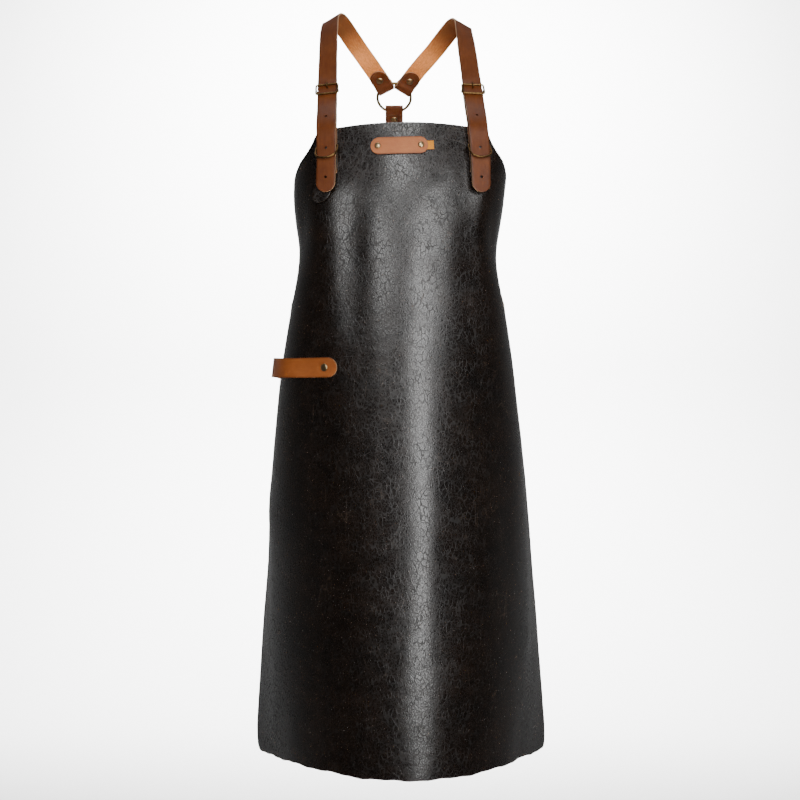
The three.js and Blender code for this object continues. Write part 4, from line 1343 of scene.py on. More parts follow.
@dataclass
class Panel:
    """The leather panel itself."""

    shape: PanelShape
    finishes: Finishes
    columns: int = 150
    ripple: float = 0.35
    pull: float = 1.6
    pull_at: tuple[float, float] = (88, 45)
    pull_size: tuple[float, float] = (24, 60)
    edge_wander: float = 0.7
    hem_reach: float = 12

    def rows(self) -> np.ndarray:
        """Sets the rows of the panel's grid, closer where the outline curves.

        Returns:
            Their distances below the top edge.
        """
        sizes = self.shape.sizes
        corner = sizes.panel_height - sizes.hem_corner_height
        angles = np.linspace(0, 90, 16)[1:] * DEGREE
        return np.concatenate((
            np.linspace(0, 8, 12)[:-1],
            np.linspace(8, 60, 22)[:-1],
            np.linspace(60, corner, 205),
            corner + sizes.hem_corner_height * np.sin(angles),
        ))

    def small_folds(self, along: np.ndarray, down: np.ndarray) -> np.ndarray:
        """Gives the soft small folds of worn leather that the plain shape leaves out.

        Args:
            along: distances from the middle line.
            down: distances below the top edge.

        Returns:
            How far each place moves out of the leather.
        """
        height = 0.55 * np.sin(along / 23 + 1.3 * np.sin(down / 90)) * np.sin(down / 61 + along / 95)
        height += 0.35 * np.sin(along / 11 + down / 47 + 2.1 * np.sin(down / 130))
        height += 0.25 * np.sin(down / 15 + along / 31 + 1.7 * np.sin(along / 58))
        sideways = (np.abs(along) - self.pull_at[0]) / self.pull_size[0]
        upright = (down - self.pull_at[1]) / self.pull_size[1]
        return self.ripple * height - self.pull * np.exp(-sideways ** 2 - upright ** 2)

    def build(self) -> None:
        shape = self.shape
        sizes = shape.sizes
        rows = self.rows()
        shares = np.linspace(-1, 1, self.columns + 1)
        row = np.repeat(rows[:, None], len(shares), axis=1)
        edge = shape.edge(row)
        wander = self.edge_wander * uneven(row, (17, 6.1), (0, 1)) * np.abs(shares) ** 8
        along = edge * shares + wander * np.sign(shares) * 0.5
        down = shape.wavy(along, row)
        hem = np.clip((row - sizes.panel_height) / self.hem_reach + 1, 0, 1)
        down = down + hem * self.edge_wander * uneven(along, (12, 4.7), (0, 0))
        at, _, _, face = shape.places(along.ravel(), down.ravel())
        lift = self.small_folds(along, down).ravel()
        places = (at + face * lift[:, None]).reshape(*row.shape, 3)
        flat = np.stack((along, -down), axis=-1)
        piece = shaped_grid("leather_panel", places, flat)
        turn_outward(piece, point(0, -1, 0))
        thicken(piece, sizes.panel_thickness, -1, 0)
        dress(piece, self.finishes.panel, "apron_panel")
        steps = np.linspace(0, sizes.panel_height, 400)
        area = float(np.mean(2 * shape.edge(steps))) * sizes.panel_height * MM * MM


@dataclass
class Rivets:
    """Rivets of every size, with a domed head in front and a flat cap behind."""

    finishes: Finishes

    def add(self, name: str, place: Place, grip: float, radius: float, node: str) -> None:
        """Sets one rivet.

        Args:
            name: the piece's name.
            place: the leather's face under its head.
            grip: the thickness that it holds.
            radius: the head's radius.
            node: the CAD node that it replaces.
        """
        sizes = SIZES
        seat = sizes.clearance * 0.4
        bottom = -grip - sizes.rivet_slack
        cap = sizes.rivet_cap
        dome = sizes.rivet_height
        profile = [
            (radius * 0.30, bottom - cap * 1.00),
            (radius * 0.66, bottom - cap * 0.98),
            (radius * 0.76, bottom - cap * 0.80),
            (radius * 0.80, bottom - cap * 0.45),
            (radius * 0.80, bottom - cap * 0.15),
            (radius * 0.76, bottom),
            (sizes.rivet_shank, bottom + 0.02),
            (sizes.rivet_shank, seat),
            (radius * 0.95, seat + 0.02),
            (radius * 1.00, seat + dome * 0.12),
            (radius * 1.00, seat + dome * 0.30),
            (radius * 0.95, seat + dome * 0.50),
            (radius * 0.84, seat + dome * 0.71),
            (radius * 0.68, seat + dome * 0.86),
            (radius * 0.48, seat + dome * 0.95),
            (radius * 0.26, seat + dome * 0.99),
            (radius * 0.05, seat + dome * 1.00),
        ]
        piece = turned_piece(name, profile, place.matrix())
        dress(piece, (self.finishes.rivet,), node)


@dataclass
class Folds:
    """The folds of the straps round the ring on the back."""

    sizes: Sizes = SIZES
    corner_room: float = 0.9
    lead_room: float = 6
    ramp: float = 2.8
    rivet_room: float = 2.5

    def __post_init__(self) -> None:
        """Works out the sizes that follow from the others."""
        sizes = self.sizes
        self.gap_radius = (sizes.ring_wire + 2 * sizes.clearance + sizes.strap_thickness) / 2
        far_edge = sizes.strap_width / 2 + sizes.fold_offset
        self.centre_reach = math.sqrt(sizes.ring_radius ** 2 - far_edge ** 2) - self.corner_room
        self.closed_half = (sizes.strap_thickness + sizes.clearance) / 2
        self.lead = self.centre_reach + sizes.fold_tab_length + self.lead_room
        self.wire_edge = sizes.ring_radius + sizes.ring_wire / 2
        self.rivet_reach = self.wire_edge + self.ramp + sizes.rivet_radius + self.rivet_room
        self.grip = 2 * sizes.strap_thickness + sizes.clearance
        tilt = sizes.ring_tilt * DEGREE
        self.centre = point(sizes.ring_sway, sizes.body_depth - sizes.front_reach, -sizes.ring_drop)
        self.up = point(0, -math.sin(tilt), math.cos(tilt))
        self.face = point(0, -math.cos(tilt), -math.sin(tilt))

    def axes(self, angle: float) -> tuple[np.ndarray, np.ndarray]:
        """Gives a fold's directions in the ring's plane.

        Args:
            angle: the fold's angle from the ring's top, in degrees.

        Returns:
            The direction away from the ring's centre and the one across the fold.
        """
        turn = angle * DEGREE
        away = point(-math.sin(turn), 0, 0) + self.up * math.cos(turn)
        across = point(math.cos(turn), 0, 0) + self.up * math.sin(turn)
        return away, across

    def spot(self, angle: float, reach: float, deep: float) -> np.ndarray:
        """Gives a place on a fold's middle line.

        Args:
            angle: the fold's angle from the ring's top, in degrees.
            reach: the distance from the ring's centre.
            deep: the distance behind the ring's plane.

        Returns:
            The place.
        """
        away, across = self.axes(angle)
        offset = -self.sizes.fold_offset * math.copysign(1, math.sin(angle * DEGREE)) * (abs(angle) < 90)
        return self.centre + away * reach + across * offset - self.face * deep

    def keys(self, angle: float, across: np.ndarray) -> list[Key]:
        """Gives the keys of a strip that comes down behind the wire and whose tab rises in front.

        Args:
            angle: the fold's angle in the ring's plane from its top, in degrees.
            across: the direction across the strip.

        Returns:
            The keys, from the lead to the tab's end.
        """
        closed = self.closed_half
        radius = self.gap_radius
        tab_end = self.centre_reach + self.sizes.fold_tab_length
        edge = self.wire_edge
        steps = [(self.lead, closed), (self.lead - 6, closed), (edge + 8, closed),
                 (edge + self.ramp, closed),
                 (edge - 0.4, radius), (self.centre_reach + 2, radius)]
        for turn in (0, 45, 90, 135, 180):
            reach = self.centre_reach - radius * math.sin(turn * DEGREE)
            steps.append((reach, radius * math.cos(turn * DEGREE)))
        steps += [(self.centre_reach + 2, -radius), (edge - 0.4, -radius), (edge + self.ramp, -closed),
                  (edge + 8, -closed), (tab_end - 5, -closed), (tab_end, -closed)]
        return [Key(self.spot(angle, reach, deep), across) for reach, deep in steps]

    def rivet_place(self, angle: float) -> Place:
        """Returns the place of a fold's rivet on its tab."""
        at = self.spot(angle, self.rivet_reach, -self.closed_half - self.sizes.strap_thickness / 2)
        return Place(at, point(1, 0, 0), self.up, self.face)


@dataclass
class Shoulder:
    """One shoulder strap with its buckle, dee ring, black tab and the strip behind it."""

    side: Side
    shape: PanelShape
    folds: Folds
    finishes: Finishes
    rivets: Rivets
    rows: Table = field(default_factory=lambda: Table(
        "deep left_drop right_drop left_spread right_spread in_x in_y in_z",
        (0.26, 0.698, 0.698, 1.000, 1.000, 0.98, -0.16, 0.04),
        (0.37, 0.350, 0.375, 1.000, 0.943, 0.95, -0.26, 0.12),
        (0.47, 0.115, 0.155, 0.995, 0.906, 0.91, -0.28, 0.30),
        (0.56, 0.010, 0.050, 0.975, 0.885, 0.87, -0.20, 0.46),
        (0.67, -0.012, 0.032, 0.880, 0.780, 0.85, -0.16, 0.50),
        (0.77, 0.175, 0.205, 0.617, 0.497, 0.86, -0.29, 0.42),
    ))

    def __post_init__(self) -> None:
        """Works out the layers in front of the panel and the strap's route."""
        sizes = SIZES
        gap = sizes.clearance
        self.buckle_strap_lift = sizes.seat_room + sizes.buckle_strap_thickness / 2
        self.tab_back_lift = (sizes.seat_room + sizes.buckle_strap_thickness + gap
                              + sizes.dee_tab_thickness / 2)
        self.dee_lift = self.tab_back_lift + sizes.dee_tab_thickness / 2 + gap + sizes.hardware_wire / 2
        self.tab_radius = self.dee_lift - self.tab_back_lift
        self.tab_front_lift = self.dee_lift + self.tab_radius
        self.free_end_lift = (self.tab_front_lift + sizes.dee_tab_thickness / 2 + gap
                              + sizes.strap_thickness / 2)
        self.route = self.strap_route()
        self.buckle_at = self.route.length_where(self.route.at[:, 2] > -sizes.buckle_drop)
        self.frame_out = sizes.strap_thickness / 2 + gap + sizes.hardware_wire / 2
        layer = sizes.buckle_strap_thickness + gap
        self.bar_back = sizes.strap_thickness / 2 + 2 * gap + layer + sizes.hardware_wire / 2

    def seat(self, down: float, lift: float) -> Place:
        """Gives a place on the bib on the middle line of the strap's free end.

        Args:
            down: the distance below the bib's top edge.
            lift: how far out of the panel.

        Returns:
            The place, with its directions along and across the strap.
        """
        sizes = SIZES
        step = 4.0

        def along(depth: float) -> float:
            """Returns the distance from the middle line at a distance below the top edge."""
            return self.side.sign * self.side.seat + self.side.drift * depth / sizes.strap_tip_drop

        place = self.shape.place(along(down), down, lift)
        upper = self.shape.place(along(down - step), down - step, lift).at
        lower = self.shape.place(along(down + step), down + step, lift).at
        line = unit(lower - upper)
        across = unit(place.across - line * float(np.dot(place.across, line)))
        return Place(place.at, across, line, -np.cross(across, line))

    def seat_key(self, down: float, lift: float) -> Key:
        """Returns a key on the bib whose across direction points towards the neck."""
        place = self.seat(down, lift)
        return Key(place.at, place.across * -self.side.sign)

    def strap_route(self) -> Route:
        """Lays out the strap.

        Returns:
            Its route, from its round tip on the bib to its tab on the ring.
        """
        sizes = SIZES
        sign = self.side.sign
        keys = [self.seat_key(sizes.strap_tip_drop * share, self.free_end_lift)
                for share in (1, 0.8, 0.55, 0.3, 0.06)]
        columns = self.rows.columns
        row_keys = []
        for index, deep in enumerate(columns["deep"]):
            at = point(
                sign * columns[self.side.name + "_spread"][index] * sizes.strap_spacing,
                deep * sizes.body_depth - sizes.front_reach,
                -columns[self.side.name + "_drop"][index] * sizes.strap_rise,
            )
            across = point(-sign * columns["in_x"][index], columns["in_y"][index], columns["in_z"][index])
            row_keys.append(Key(at, across))
        climb = unit(row_keys[1].at - keys[-1].at)
        for step in (-1.3, -0.65, 0, 0.65, 1.2):
            keys.append(Key(row_keys[0].at + climb * step * sizes.buckle_height, row_keys[0].across))
        keys += row_keys[1:]
        across = self.folds.axes(self.side.fold_angle)[1] * -sign
        keys += self.folds.keys(self.side.fold_angle, across)
        return Route(keys, -sign)

    def build_strap(self) -> None:
        """Makes the shoulder strap with its punched holes, cut off where it meets the other one."""
        sizes = SIZES
        name = self.side.name
        top = float(self.route.lengths[int(np.argmax(self.route.at[:, 2]))])
        strip = Strip(f"strap_{name}", self.route, sizes.strap_width, sizes.strap_thickness, origin=top)
        piece = strip.build()
        holes = []
        for share in (0, 0.33, 0.72):
            length = sizes.first_hole + share * (sizes.last_hole - sizes.first_hole)
            holes.append((self.route.place(length), sizes.hole_radius))
        prong_place = self.route.place(self.buckle_at + sizes.prong_hole_lead)
        holes.append((prong_place, sizes.prong_wire / 2 + sizes.prong_slack))
        punch(piece, holes)
        self._trim(piece)
        dress(piece, self.finishes.shoulder, f"shoulder_strap_{name}")

    def _trim(self, piece: bpy.types.Object) -> None:
        """Cuts the fold off along the line where the two straps meet on the ring.

        Args:
            piece: the strap.
        """
        sizes = SIZES
        away = 2 * sizes.strap_width
        deselect_all()
        bpy.ops.mesh.primitive_cube_add(size=2 * away * MM)
        cutter = bpy.context.object
        middle = self.folds.centre - point(self.side.sign * (away - sizes.clearance / 2), 0, 0)
        cutter.data.transform(Matrix.Translation([float(value) * MM for value in middle]))
        cut(piece, cutter)

    def build_buckle(self) -> None:
        """Makes the buckle's frame and centre bar, and its prong."""
        sizes = SIZES
        name = self.side.name
        matrix = self.route.place(self.buckle_at).matrix(flip=self.side.sign > 0)
        half_wide = sizes.strap_width / 2 + sizes.pass_room + sizes.hardware_wire / 2
        half_tall = (sizes.buckle_height - sizes.hardware_wire) / 2
        corner = 2.6
        loop = []
        for x, y, start in ((1, 1, 0), (-1, 1, 90), (-1, -1, 180), (1, -1, 270)):
            centre = (x * (half_wide - corner), y * (half_tall - corner))
            loop += arc(centre, (corner, corner), start, start + 90, 8)
        loop = [spot + point(0, 0, self.frame_out) for spot in loop]
        wire = sizes.hardware_wire + sizes.wire_swell
        frame = wire_piece(f"buckle_frame_{name}", loop, wire, True, matrix)
        bend = 1.2
        bar = [point(-half_wide, 0, self.frame_out), point(-half_wide, 0, bend - self.bar_back),
               point(bend - half_wide, 0, -self.bar_back), point(half_wide - bend, 0, -self.bar_back),
               point(half_wide, 0, bend - self.bar_back), point(half_wide, 0, self.frame_out)]
        centre_bar = wire_piece(f"buckle_bar_{name}", bar, sizes.hardware_wire, False, matrix)
        dress(join([frame, centre_bar], f"brass_buckle_{name}"), (self.finishes.wire,),
              f"buckle_{name}")
        hook = sizes.hardware_wire / 2 + sizes.clearance + sizes.prong_wire / 2
        out = self.frame_out + sizes.hardware_wire / 2 + sizes.clearance + sizes.prong_wire / 2
        hooked = arc((0, 0), (hook, hook), 100, 360, 20)
        prong = [point(0, spot[0], spot[1] - self.bar_back) for spot in hooked]
        ends = [(hook + 0.3, -sizes.strap_thickness), (3.6, sizes.strap_thickness / 2 + 0.6),
                (half_tall - 3.4, out - 0.7), (half_tall - 2.2, out - 0.3), (half_tall, out),
                (half_tall + 2.2, out - 0.2)]
        prong += [point(0, along, deep) for along, deep in ends]
        piece = wire_piece(f"prong_{name}", prong, sizes.prong_wire, False, matrix)
        dress(piece, (self.finishes.wire,), f"buckle_prong_{name}")

    def build_dee(self) -> None:
        """Makes the dee ring and the black tab that holds it, with the tab's rivet."""
        sizes = SIZES
        name = self.side.name
        bar_drop = sizes.dee_bar_drop
        seat = self.seat(bar_drop, self.dee_lift)
        half = sizes.strap_width / 2 + sizes.pass_room + sizes.hardware_wire / 2
        corner = 1.4
        loop = arc((0, -sizes.dee_side), (half, sizes.dee_arc), 180, 360, 32)
        loop += arc((half - corner, -corner), (corner, corner), 0, 90, 6)
        loop += arc((corner - half, -corner), (corner, corner), 90, 180, 6)
        tilt = Matrix.Rotation(-sizes.dee_tilt * DEGREE, 4, "X")
        wire = sizes.hardware_wire + sizes.wire_swell
        ring = wire_piece(f"dee_{name}", loop, wire, True, seat.matrix() @ tilt)
        dress(ring, (self.finishes.wire,), f"dee_ring_{name}")
        closed = self.tab_back_lift + sizes.dee_tab_thickness + sizes.clearance
        steps = [(sizes.dee_tab_length, closed), (sizes.dee_tab_length - 6, closed),
                 (sizes.dee_tab_length * 0.6, closed), (sizes.dee_tab_back_leg, closed), (21, closed),
                 (15, closed), (12, closed), (5, self.tab_front_lift)]
        for turn in (0, 45, 90, 135, 180):
            reach = -self.tab_radius * math.sin(turn * DEGREE)
            steps.append((reach, self.dee_lift + self.tab_radius * math.cos(turn * DEGREE)))
        steps += [(6, self.tab_back_lift), (sizes.dee_tab_back_leg * 0.6, self.tab_back_lift),
                  (sizes.dee_tab_back_leg, self.tab_back_lift)]
        route = Route([self.seat_key(bar_drop + down, lift) for down, lift in steps], -self.side.sign)

        def lean(length: float) -> float:
            """Returns how far the tab's free end leans sideways at a length from that end."""
            return -self.side.slant * max(1 - length / (sizes.dee_tab_length * 0.7), 0) ** 1.5

        start = sizes.dee_tab_length * (1 - self.side.tab_share)
        tab = Strip(f"black_tab_{name}", route, sizes.dee_tab_width, sizes.dee_tab_thickness, start=start,
                    round_end=False, lean=lean, stride=1.6).build(0.2)
        dress(tab, self.finishes.panel, f"dee_tab_{name}")
        rivet_drop = bar_drop + sizes.dee_tab_back_leg - 11
        rivet_lift = closed + sizes.dee_tab_thickness / 2
        self.rivets.add(f"tab_rivet_{name}", self.seat(rivet_drop, rivet_lift),
                        rivet_lift + sizes.panel_thickness, sizes.dee_rivet_radius, f"dee_rivet_{name}")

    def build_buckle_strap(self) -> None:
        """Makes the strip behind the free end, from the bib up and round the buckle's centre bar."""
        sizes = SIZES
        keys = [self.seat_key(sizes.buckle_strap_drop * share, self.buckle_strap_lift)
                for share in (1, 0.75, 0.5, 0.25, 0.08)]
        radius = sizes.hardware_wire / 2 + sizes.clearance + sizes.buckle_strap_thickness / 2
        place = self.route.place(self.buckle_at)
        steps = [(-26, self.buckle_strap_lift - self.free_end_lift), (-9, -self.bar_back - radius)]
        for turn in (0, 45, 90, 135, 180):
            lift = -self.bar_back - radius * math.cos(turn * DEGREE)
            steps.append((radius * math.sin(turn * DEGREE), lift))
        steps += [(-5, radius - self.bar_back), (-13, radius - self.bar_back - 0.4)]
        keys += [Key(place.at + place.along * up + place.face * deep, place.across) for up, deep in steps]
        strip = Strip(f"rear_strip_{self.side.name}", Route(keys, -self.side.sign), sizes.strap_width - 1,
                      sizes.buckle_strap_thickness, round_start=False, round_end=False, stride=1.8)
        dress(strip.build(0.25), self.finishes.strap, f"buckle_strap_{self.side.name}")

    def build(self) -> None:
        """Makes all the pieces of this shoulder."""
        self.build_strap()
        self.rivets.add(f"ring_rivet_{self.side.name}", self.folds.rivet_place(self.side.fold_angle),
                        self.folds.grip, SIZES.rivet_radius, f"fold_rivet_{self.side.name}")
        self.build_buckle()
        self.build_dee()
        self.build_buckle_strap()


@dataclass
class BackHarness:
    """The ring on the back, the strap that hangs from it and the strap across the waist."""

    shape: PanelShape
    folds: Folds
    finishes: Finishes
    rivets: Rivets
    rows: tuple[tuple[float, float, float], ...] = (
        # fall, bulge, settled: shares of the height to the waist strap, of the bulge, and of the way in
        (0.08, 0.55, 0),
        (0.22, 1.00, 0.03),
        (0.45, 0.95, 0.25),
        (0.72, 0.50, 0.80),
    )

    def build_ring(self) -> None:
        """Makes the ring."""
        sizes = SIZES
        deselect_all()
        bpy.ops.mesh.primitive_torus_add(major_radius=sizes.ring_radius * MM,
                                         minor_radius=(sizes.ring_wire + sizes.wire_swell) / 2 * MM,
                                         major_segments=96, minor_segments=20)
        ring = bpy.context.object
        ring.name = "round_ring"
        turn = Matrix.Rotation(math.pi / 2 + sizes.ring_tilt * DEGREE, 4, "X")
        move = Matrix.Translation([float(value) * MM for value in self.folds.centre])
        ring.data.transform(move @ turn)
        smooth(ring, WIRE_ANGLE)
        dress(ring, (self.finishes.wire,), "back_ring")

    def waist_route(self) -> Route:
        """Lays out the waist strap.

        Returns:
            Its route, from one side corner across the back to the other.
        """
        sizes = SIZES
        lift = sizes.clearance + sizes.strap_thickness / 2
        half = sizes.panel_half_width
        drop = sizes.waist_strap_drop
        shares = (0.8, 0.84, 0.88, 0.92, 0.96, 1.0, 1.02)

        def side_key(sign: int, share: float) -> Key:
            """Returns a key on the side of the panel, at a share of its half width."""
            place = self.shape.place(sign * half * share, drop, lift)
            return Key(place.at, -place.along)

        keys = [side_key(-1, share) for share in shares]
        left = self.shape.place(-half, drop, lift).at
        right = self.shape.place(half, drop, lift).at
        for share in (0.04, 0.1, 0.25, 0.5, 0.75, 0.9, 0.96):
            at = left + (right - left) * share
            at[1] += sizes.waist_bulge + sizes.waist_round * math.sin(share * math.pi)
            keys.append(Key(at, point(0, 0, 1)))
        keys += [side_key(1, share) for share in reversed(shares)]
        return Route(keys, 1)

    def build_waist(self) -> np.ndarray:
        """Makes the waist strap and its rivets.

        Returns:
            The place where the back strap is folded round it.
        """
        sizes = SIZES
        route = self.waist_route()
        strip = Strip("strap_waist", route, sizes.strap_width, sizes.strap_thickness)
        dress(strip.build(), self.finishes.strap, "waist_strap")
        lift = sizes.clearance + sizes.strap_thickness
        grip = sizes.panel_thickness + lift
        for sign, name in ((-1, "left"), (1, "right")):
            place = self.shape.place(sign * sizes.panel_half_width * 0.87, sizes.waist_strap_drop, lift)
            self.rivets.add(f"side_rivet_{name}", place, grip, sizes.rivet_radius, f"waist_rivet_{name}")
        middle = (route.at[:, 0] > sizes.ring_sway) & (route.at[:, 1] > 0)
        return route.at[int(np.argmax(middle))]

    def build_back_strap(self, waist: np.ndarray) -> None:
        """Makes the strap from the ring down and round the waist strap, and its rivets.

        Args:
            waist: the waist strap's middle line behind it.
        """
        sizes = SIZES
        across = point(1, 0, 0)
        keys = list(reversed(self.folds.keys(180, across)))
        # The fold's lead is its upper end in front of the tab, so the order is turned round.
        loop = sizes.strap_thickness + 2 * sizes.clearance
        tail = loop - sizes.strap_thickness - sizes.clearance
        start = keys[-1].at
        fall = start[2] - waist[2]
        for share, bulge, settled in self.rows:
            deep = start[1] + sizes.back_bulge * bulge
            depth = deep + (waist[1] - deep) * settled
            keys.append(Key(point(sizes.ring_sway, depth, start[2] - fall * share), across))
        half = sizes.strap_width / 2 + sizes.clearance
        steps = [(half + 6, loop), (-half, loop)]
        for turn in (45, 90, 135):
            steps.append((-half - loop * math.sin(turn * DEGREE), loop * math.cos(turn * DEGREE)))
        steps += [(-half, -loop), (half + 2, -loop), (half + 8, tail), (half + 20, tail)]
        keys += [Key(point(sizes.ring_sway, waist[1] + deep, waist[2] + up), across) for up, deep in steps]
        strip = Strip("strap_back", Route(keys, 1), sizes.strap_width, sizes.strap_thickness)
        dress(strip.build(), self.finishes.strap, "back_strap")
        self.rivets.add("ring_rivet_lower", self.folds.rivet_place(180), self.folds.grip,
                        sizes.rivet_radius, "fold_rivet_lower")
        at = point(sizes.ring_sway, waist[1] + tail - sizes.strap_thickness / 2,
                   waist[2] + sizes.strap_width / 2 + 15)
        place = Place(at, point(1, 0, 0), point(0, 0, 1), point(0, -1, 0))
        self.rivets.add("waist_fold_rivet", place, self.folds.grip + 2 * sizes.clearance,
                        sizes.rivet_radius, "back_strap_rivet")

    def build(self) -> None:
        """Makes all the pieces behind the wearer."""
        self.build_ring()
        waist = self.build_waist()
        self.build_back_strap(waist)


@dataclass
class Patch:
    """The bare oval patch on the bib and the small woven label under its right end."""

    shape: PanelShape
    finishes: Finishes
    rivets: Rivets

    def route(self, lift: float) -> Route:
        """Lays out a level line across the bib.

        Args:
            lift: its height above the leather.

        Returns:
            The line's route.
        """
        keys = []
        for share in (-0.6, -0.35, -0.12, 0.12, 0.35, 0.6):
            place = self.spot(share * SIZES.patch_length, lift)
            keys.append(Key(place.at, -place.along))
        return Route(keys, -1)

    def spot(self, along: float, lift: float) -> Place:
        """Returns a place on the patch's middle line."""
        down = SIZES.patch_drop - along * math.tan(SIZES.patch_tilt * DEGREE)
        return self.shape.place(SIZES.patch_shift + along, down, lift)

    def build(self) -> None:
        """Makes the patch, its rivets and the label."""
        sizes = SIZES
        lift = sizes.clearance + sizes.patch_thickness / 2
        route = self.route(lift)
        start = (route.length - sizes.patch_length) / 2
        strip = Strip("oval_patch", route, sizes.patch_height, sizes.patch_thickness, start=start,
                      end=start + sizes.patch_length, columns=14, stride=1.8, wander=0.1)
        piece = strip.build(0.55)
        dress(piece, self.finishes.patch, "name_patch")
        grip = sizes.patch_thickness + sizes.clearance + sizes.panel_thickness
        for sign, name in ((-1, "left"), (1, "right")):
            place = self.spot(sign * sizes.patch_rivet_spacing / 2, lift + sizes.patch_thickness / 2)
            self.rivets.add(f"oval_rivet_{name}", place, grip, sizes.patch_rivet_radius,
                            f"patch_rivet_{name}")
        label_route = self.route(sizes.clearance + sizes.label_thickness / 2)
        end = (label_route.length + sizes.patch_length) / 2 + sizes.label_show
        label = Strip("woven_tab", label_route, sizes.label_height, sizes.label_thickness,
                      start=end - sizes.label_length, end=end, round_start=False, round_end=False,
                      stride=1.0, wander=0.05)
        dress(label.build(0.15), (self.finishes.label,) * 3, "label_tab")


@dataclass
class TowelLoop:
    """The leather band on the hip that holds a towel."""

    shape: PanelShape
    finishes: Finishes
    rivets: Rivets

    def build(self) -> None:
        """Makes the band and its two rivets."""
        sizes = SIZES
        lift = sizes.clearance + sizes.loop_thickness / 2
        span = sizes.loop_rear_seat - sizes.loop_tip_seat
        steps = ((0, 0), (0.1, 0), (0.17, 0.04), (0.3, 0.36), (0.42, 0.84), (0.55, 1.02), (0.68, 1),
                 (0.8, 0.45), (0.88, 0.03))
        keys = []

        def key(seat: float, stand_off: float) -> None:
            """Adds a key at a distance from the middle line, off the panel by a share of the stand-off."""
            place = self.shape.place(-seat, sizes.loop_drop, lift + sizes.loop_stand_off * stand_off)
            keys.append(Key(place.at, -place.along))

        for share, stand_off in steps:
            key(sizes.loop_tip_seat + span * share, stand_off)
        key(sizes.loop_rear_seat - 2, 0)
        key(sizes.loop_rear_seat + sizes.loop_tail * 0.5, 0)
        strip = Strip("towel_band", Route(keys, 1), sizes.loop_height, sizes.loop_thickness)
        dress(strip.build(), self.finishes.loop, "towel_loop")
        grip = sizes.loop_thickness + sizes.clearance + sizes.panel_thickness
        face = sizes.clearance + sizes.loop_thickness
        seats = (("front", sizes.loop_tip_seat + sizes.loop_tail), ("rear", sizes.loop_rear_seat - 5))
        for name, seat in seats:
            place = self.shape.place(-seat, sizes.loop_drop, face)
            self.rivets.add(f"band_rivet_{name}", place, grip, sizes.rivet_radius, f"towel_rivet_{name}")


@dataclass(frozen=True)
class Softbox:
    """One soft light that faces a target, in metres, watts and degrees."""

    name: str
    at: tuple[float, float, float]
    target: tuple[float, float, float]
    width: float
    height: float
    power: float
    spread: float = 180

    def add(self) -> None:
        """Adds the light."""
        data = bpy.data.lights.new(self.name, "AREA")
        data.shape = "RECTANGLE"
        data.size = self.width
        data.size_y = self.height
        data.energy = self.power
        data.spread = self.spread * DEGREE
        light = bpy.data.objects.new(self.name, data)
        light.location = self.at
        back = unit(np.array(self.at) - np.array(self.target))
        side = unit(np.cross((0.0, 0.0, 1.0), back))
        up = np.cross(back, side)
        rows = [[float(side[axis]), float(up[axis]), float(back[axis])] for axis in range(3)]
        light.rotation_euler = Matrix(rows).to_euler()
        bpy.context.collection.objects.link(light)


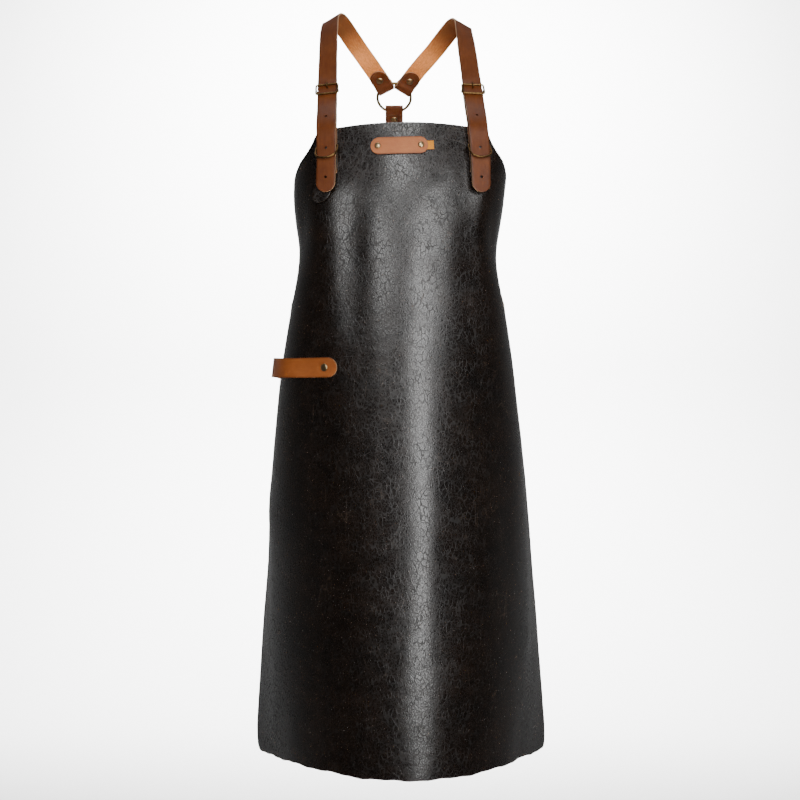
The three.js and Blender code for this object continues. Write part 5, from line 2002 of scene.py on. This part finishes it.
@dataclass
class Studio:
    """The plain pale sweep, the soft lights and the camera, in metres."""

    floor_drop: float = 1.32
    wall_back: float = 2.3
    wall_height: float = 5
    sweep_width: float = 14
    sweep_depth: float = 10
    sweep_bend: float = 0.9
    pale: Colour = (0.86, 0.86, 0.86)
    room_dim: float = 0.04
    room_light: float = 0.26
    camera_back: float = 1.87
    camera_drop: float = 0.523
    lens: float = 61.76
    sensor: float = 36
    lights: tuple[Softbox, ...] = (
        Softbox("key_box", (0.72, -2.45, -0.5), (0.0, 0.0, -0.5), 0.72, 2.1, 52),
        Softbox("bib_box", (0.01, -2.35, 1.05), (0.0, 0.0, -0.25), 0.48, 0.8, 16),
        Softbox("left_box", (-0.52, -2.3, 0.12), (0.0, 0.0, -0.3), 0.62, 0.7, 12),
        Softbox("chest_box", (1.3, -2.15, 0.3), (0.0, 0.0, -0.3), 0.4, 0.6, 6),
        Softbox("top_box", (0.0, 0.1, 1.5), (0.0, 0.2, -0.3), 1.0, 0.5, 8),
        Softbox("wall_box_high", (0.0, 0.7, 1.6), (0.0, 2.3, -0.35), 1.8, 0.5, 270, 90),
    )

    def build(self) -> None:
        """Makes the sweep, the lights, the dim room and the camera."""
        self.build_sweep()
        for light in self.lights:
            light.add()
        self.build_room()
        data = bpy.data.cameras.new("front_camera")
        data.lens = self.lens
        data.sensor_width = self.sensor
        camera = bpy.data.objects.new("front_camera", data)
        camera.location = (0, -self.camera_back, -self.camera_drop)
        camera.rotation_euler = (math.pi / 2, 0, 0)
        bpy.context.collection.objects.link(camera)
        bpy.context.scene.camera = camera

    def build_sweep(self) -> None:
        """Makes one pale surface, from the floor up into the wall, that glossy pieces don't mirror."""
        deselect_all()
        bpy.ops.mesh.primitive_plane_add(size=1)
        sweep = bpy.context.object
        sweep.name = "pale_sweep"
        sweep.data.transform(Matrix.Diagonal((self.sweep_width, self.sweep_depth, 1, 1)))
        middle = self.wall_back - self.sweep_depth / 2
        sweep.data.transform(Matrix.Translation((0, middle, -self.floor_drop)))
        bpy.ops.object.mode_set(mode="EDIT")
        bpy.ops.mesh.select_all(action="DESELECT")
        bpy.ops.mesh.select_mode(type="EDGE")
        bpy.ops.object.mode_set(mode="OBJECT")
        for edge in sweep.data.edges:
            ends = [sweep.data.vertices[index].co.y for index in edge.vertices]
            edge.select = min(ends) > self.wall_back - 0.01
        bpy.ops.object.mode_set(mode="EDIT")
        bpy.ops.mesh.extrude_region_move(TRANSFORM_OT_translate={"value": (0, 0, self.wall_height)})
        bpy.ops.object.mode_set(mode="OBJECT")
        apply_modifier(sweep, "BEVEL", width=self.sweep_bend, segments=16, limit_method="ANGLE",
                       angle_limit=45 * DEGREE)
        smooth(sweep, 60)
        sweep.data.materials.append(Paint("pale_paper").finish(self.pale, 0.9))
        sweep.visible_glossy = False

    def build_room(self) -> None:
        """Makes the dim room, darker in front of the apron than beside and behind it."""
        world = bpy.data.worlds.new("soft_room")
        world.use_nodes = True
        tree = world.node_tree
        direction = tree.nodes.new("ShaderNodeTexCoord")
        parts = tree.nodes.new("ShaderNodeSeparateXYZ")
        spread = tree.nodes.new("ShaderNodeMapRange")
        limits = {"From Min": -0.5, "From Max": 0.5, "To Min": self.room_dim, "To Max": self.room_light}
        for name, value in limits.items():
            spread.inputs[name].default_value = value
        tree.links.new(direction.outputs["Generated"], parts.inputs[0])
        tree.links.new(parts.outputs["Y"], spread.inputs["Value"])
        tree.links.new(spread.outputs[0], tree.nodes["Background"].inputs["Strength"])
        tree.nodes["Background"].inputs["Color"].default_value = (1, 1, 1, 1)
        bpy.context.scene.world = world


def main() -> None:
    """Builds the apron's looks in order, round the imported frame."""
    logging.basicConfig(level=logging.INFO, format="%(name)s: %(message)s")
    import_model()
    shape = PanelShape()
    finishes = Finishes()
    rivets = Rivets(finishes)
    folds = Folds()
    Studio().build()
    Panel(shape, finishes).build()
    for side in (LEFT, RIGHT):
        Shoulder(side, shape, folds, finishes, rivets).build()
    BackHarness(shape, folds, finishes, rivets).build()
    Patch(shape, finishes, rivets).build()
    TowelLoop(shape, finishes, rivets).build()


if __name__ == "__main__":
    main()
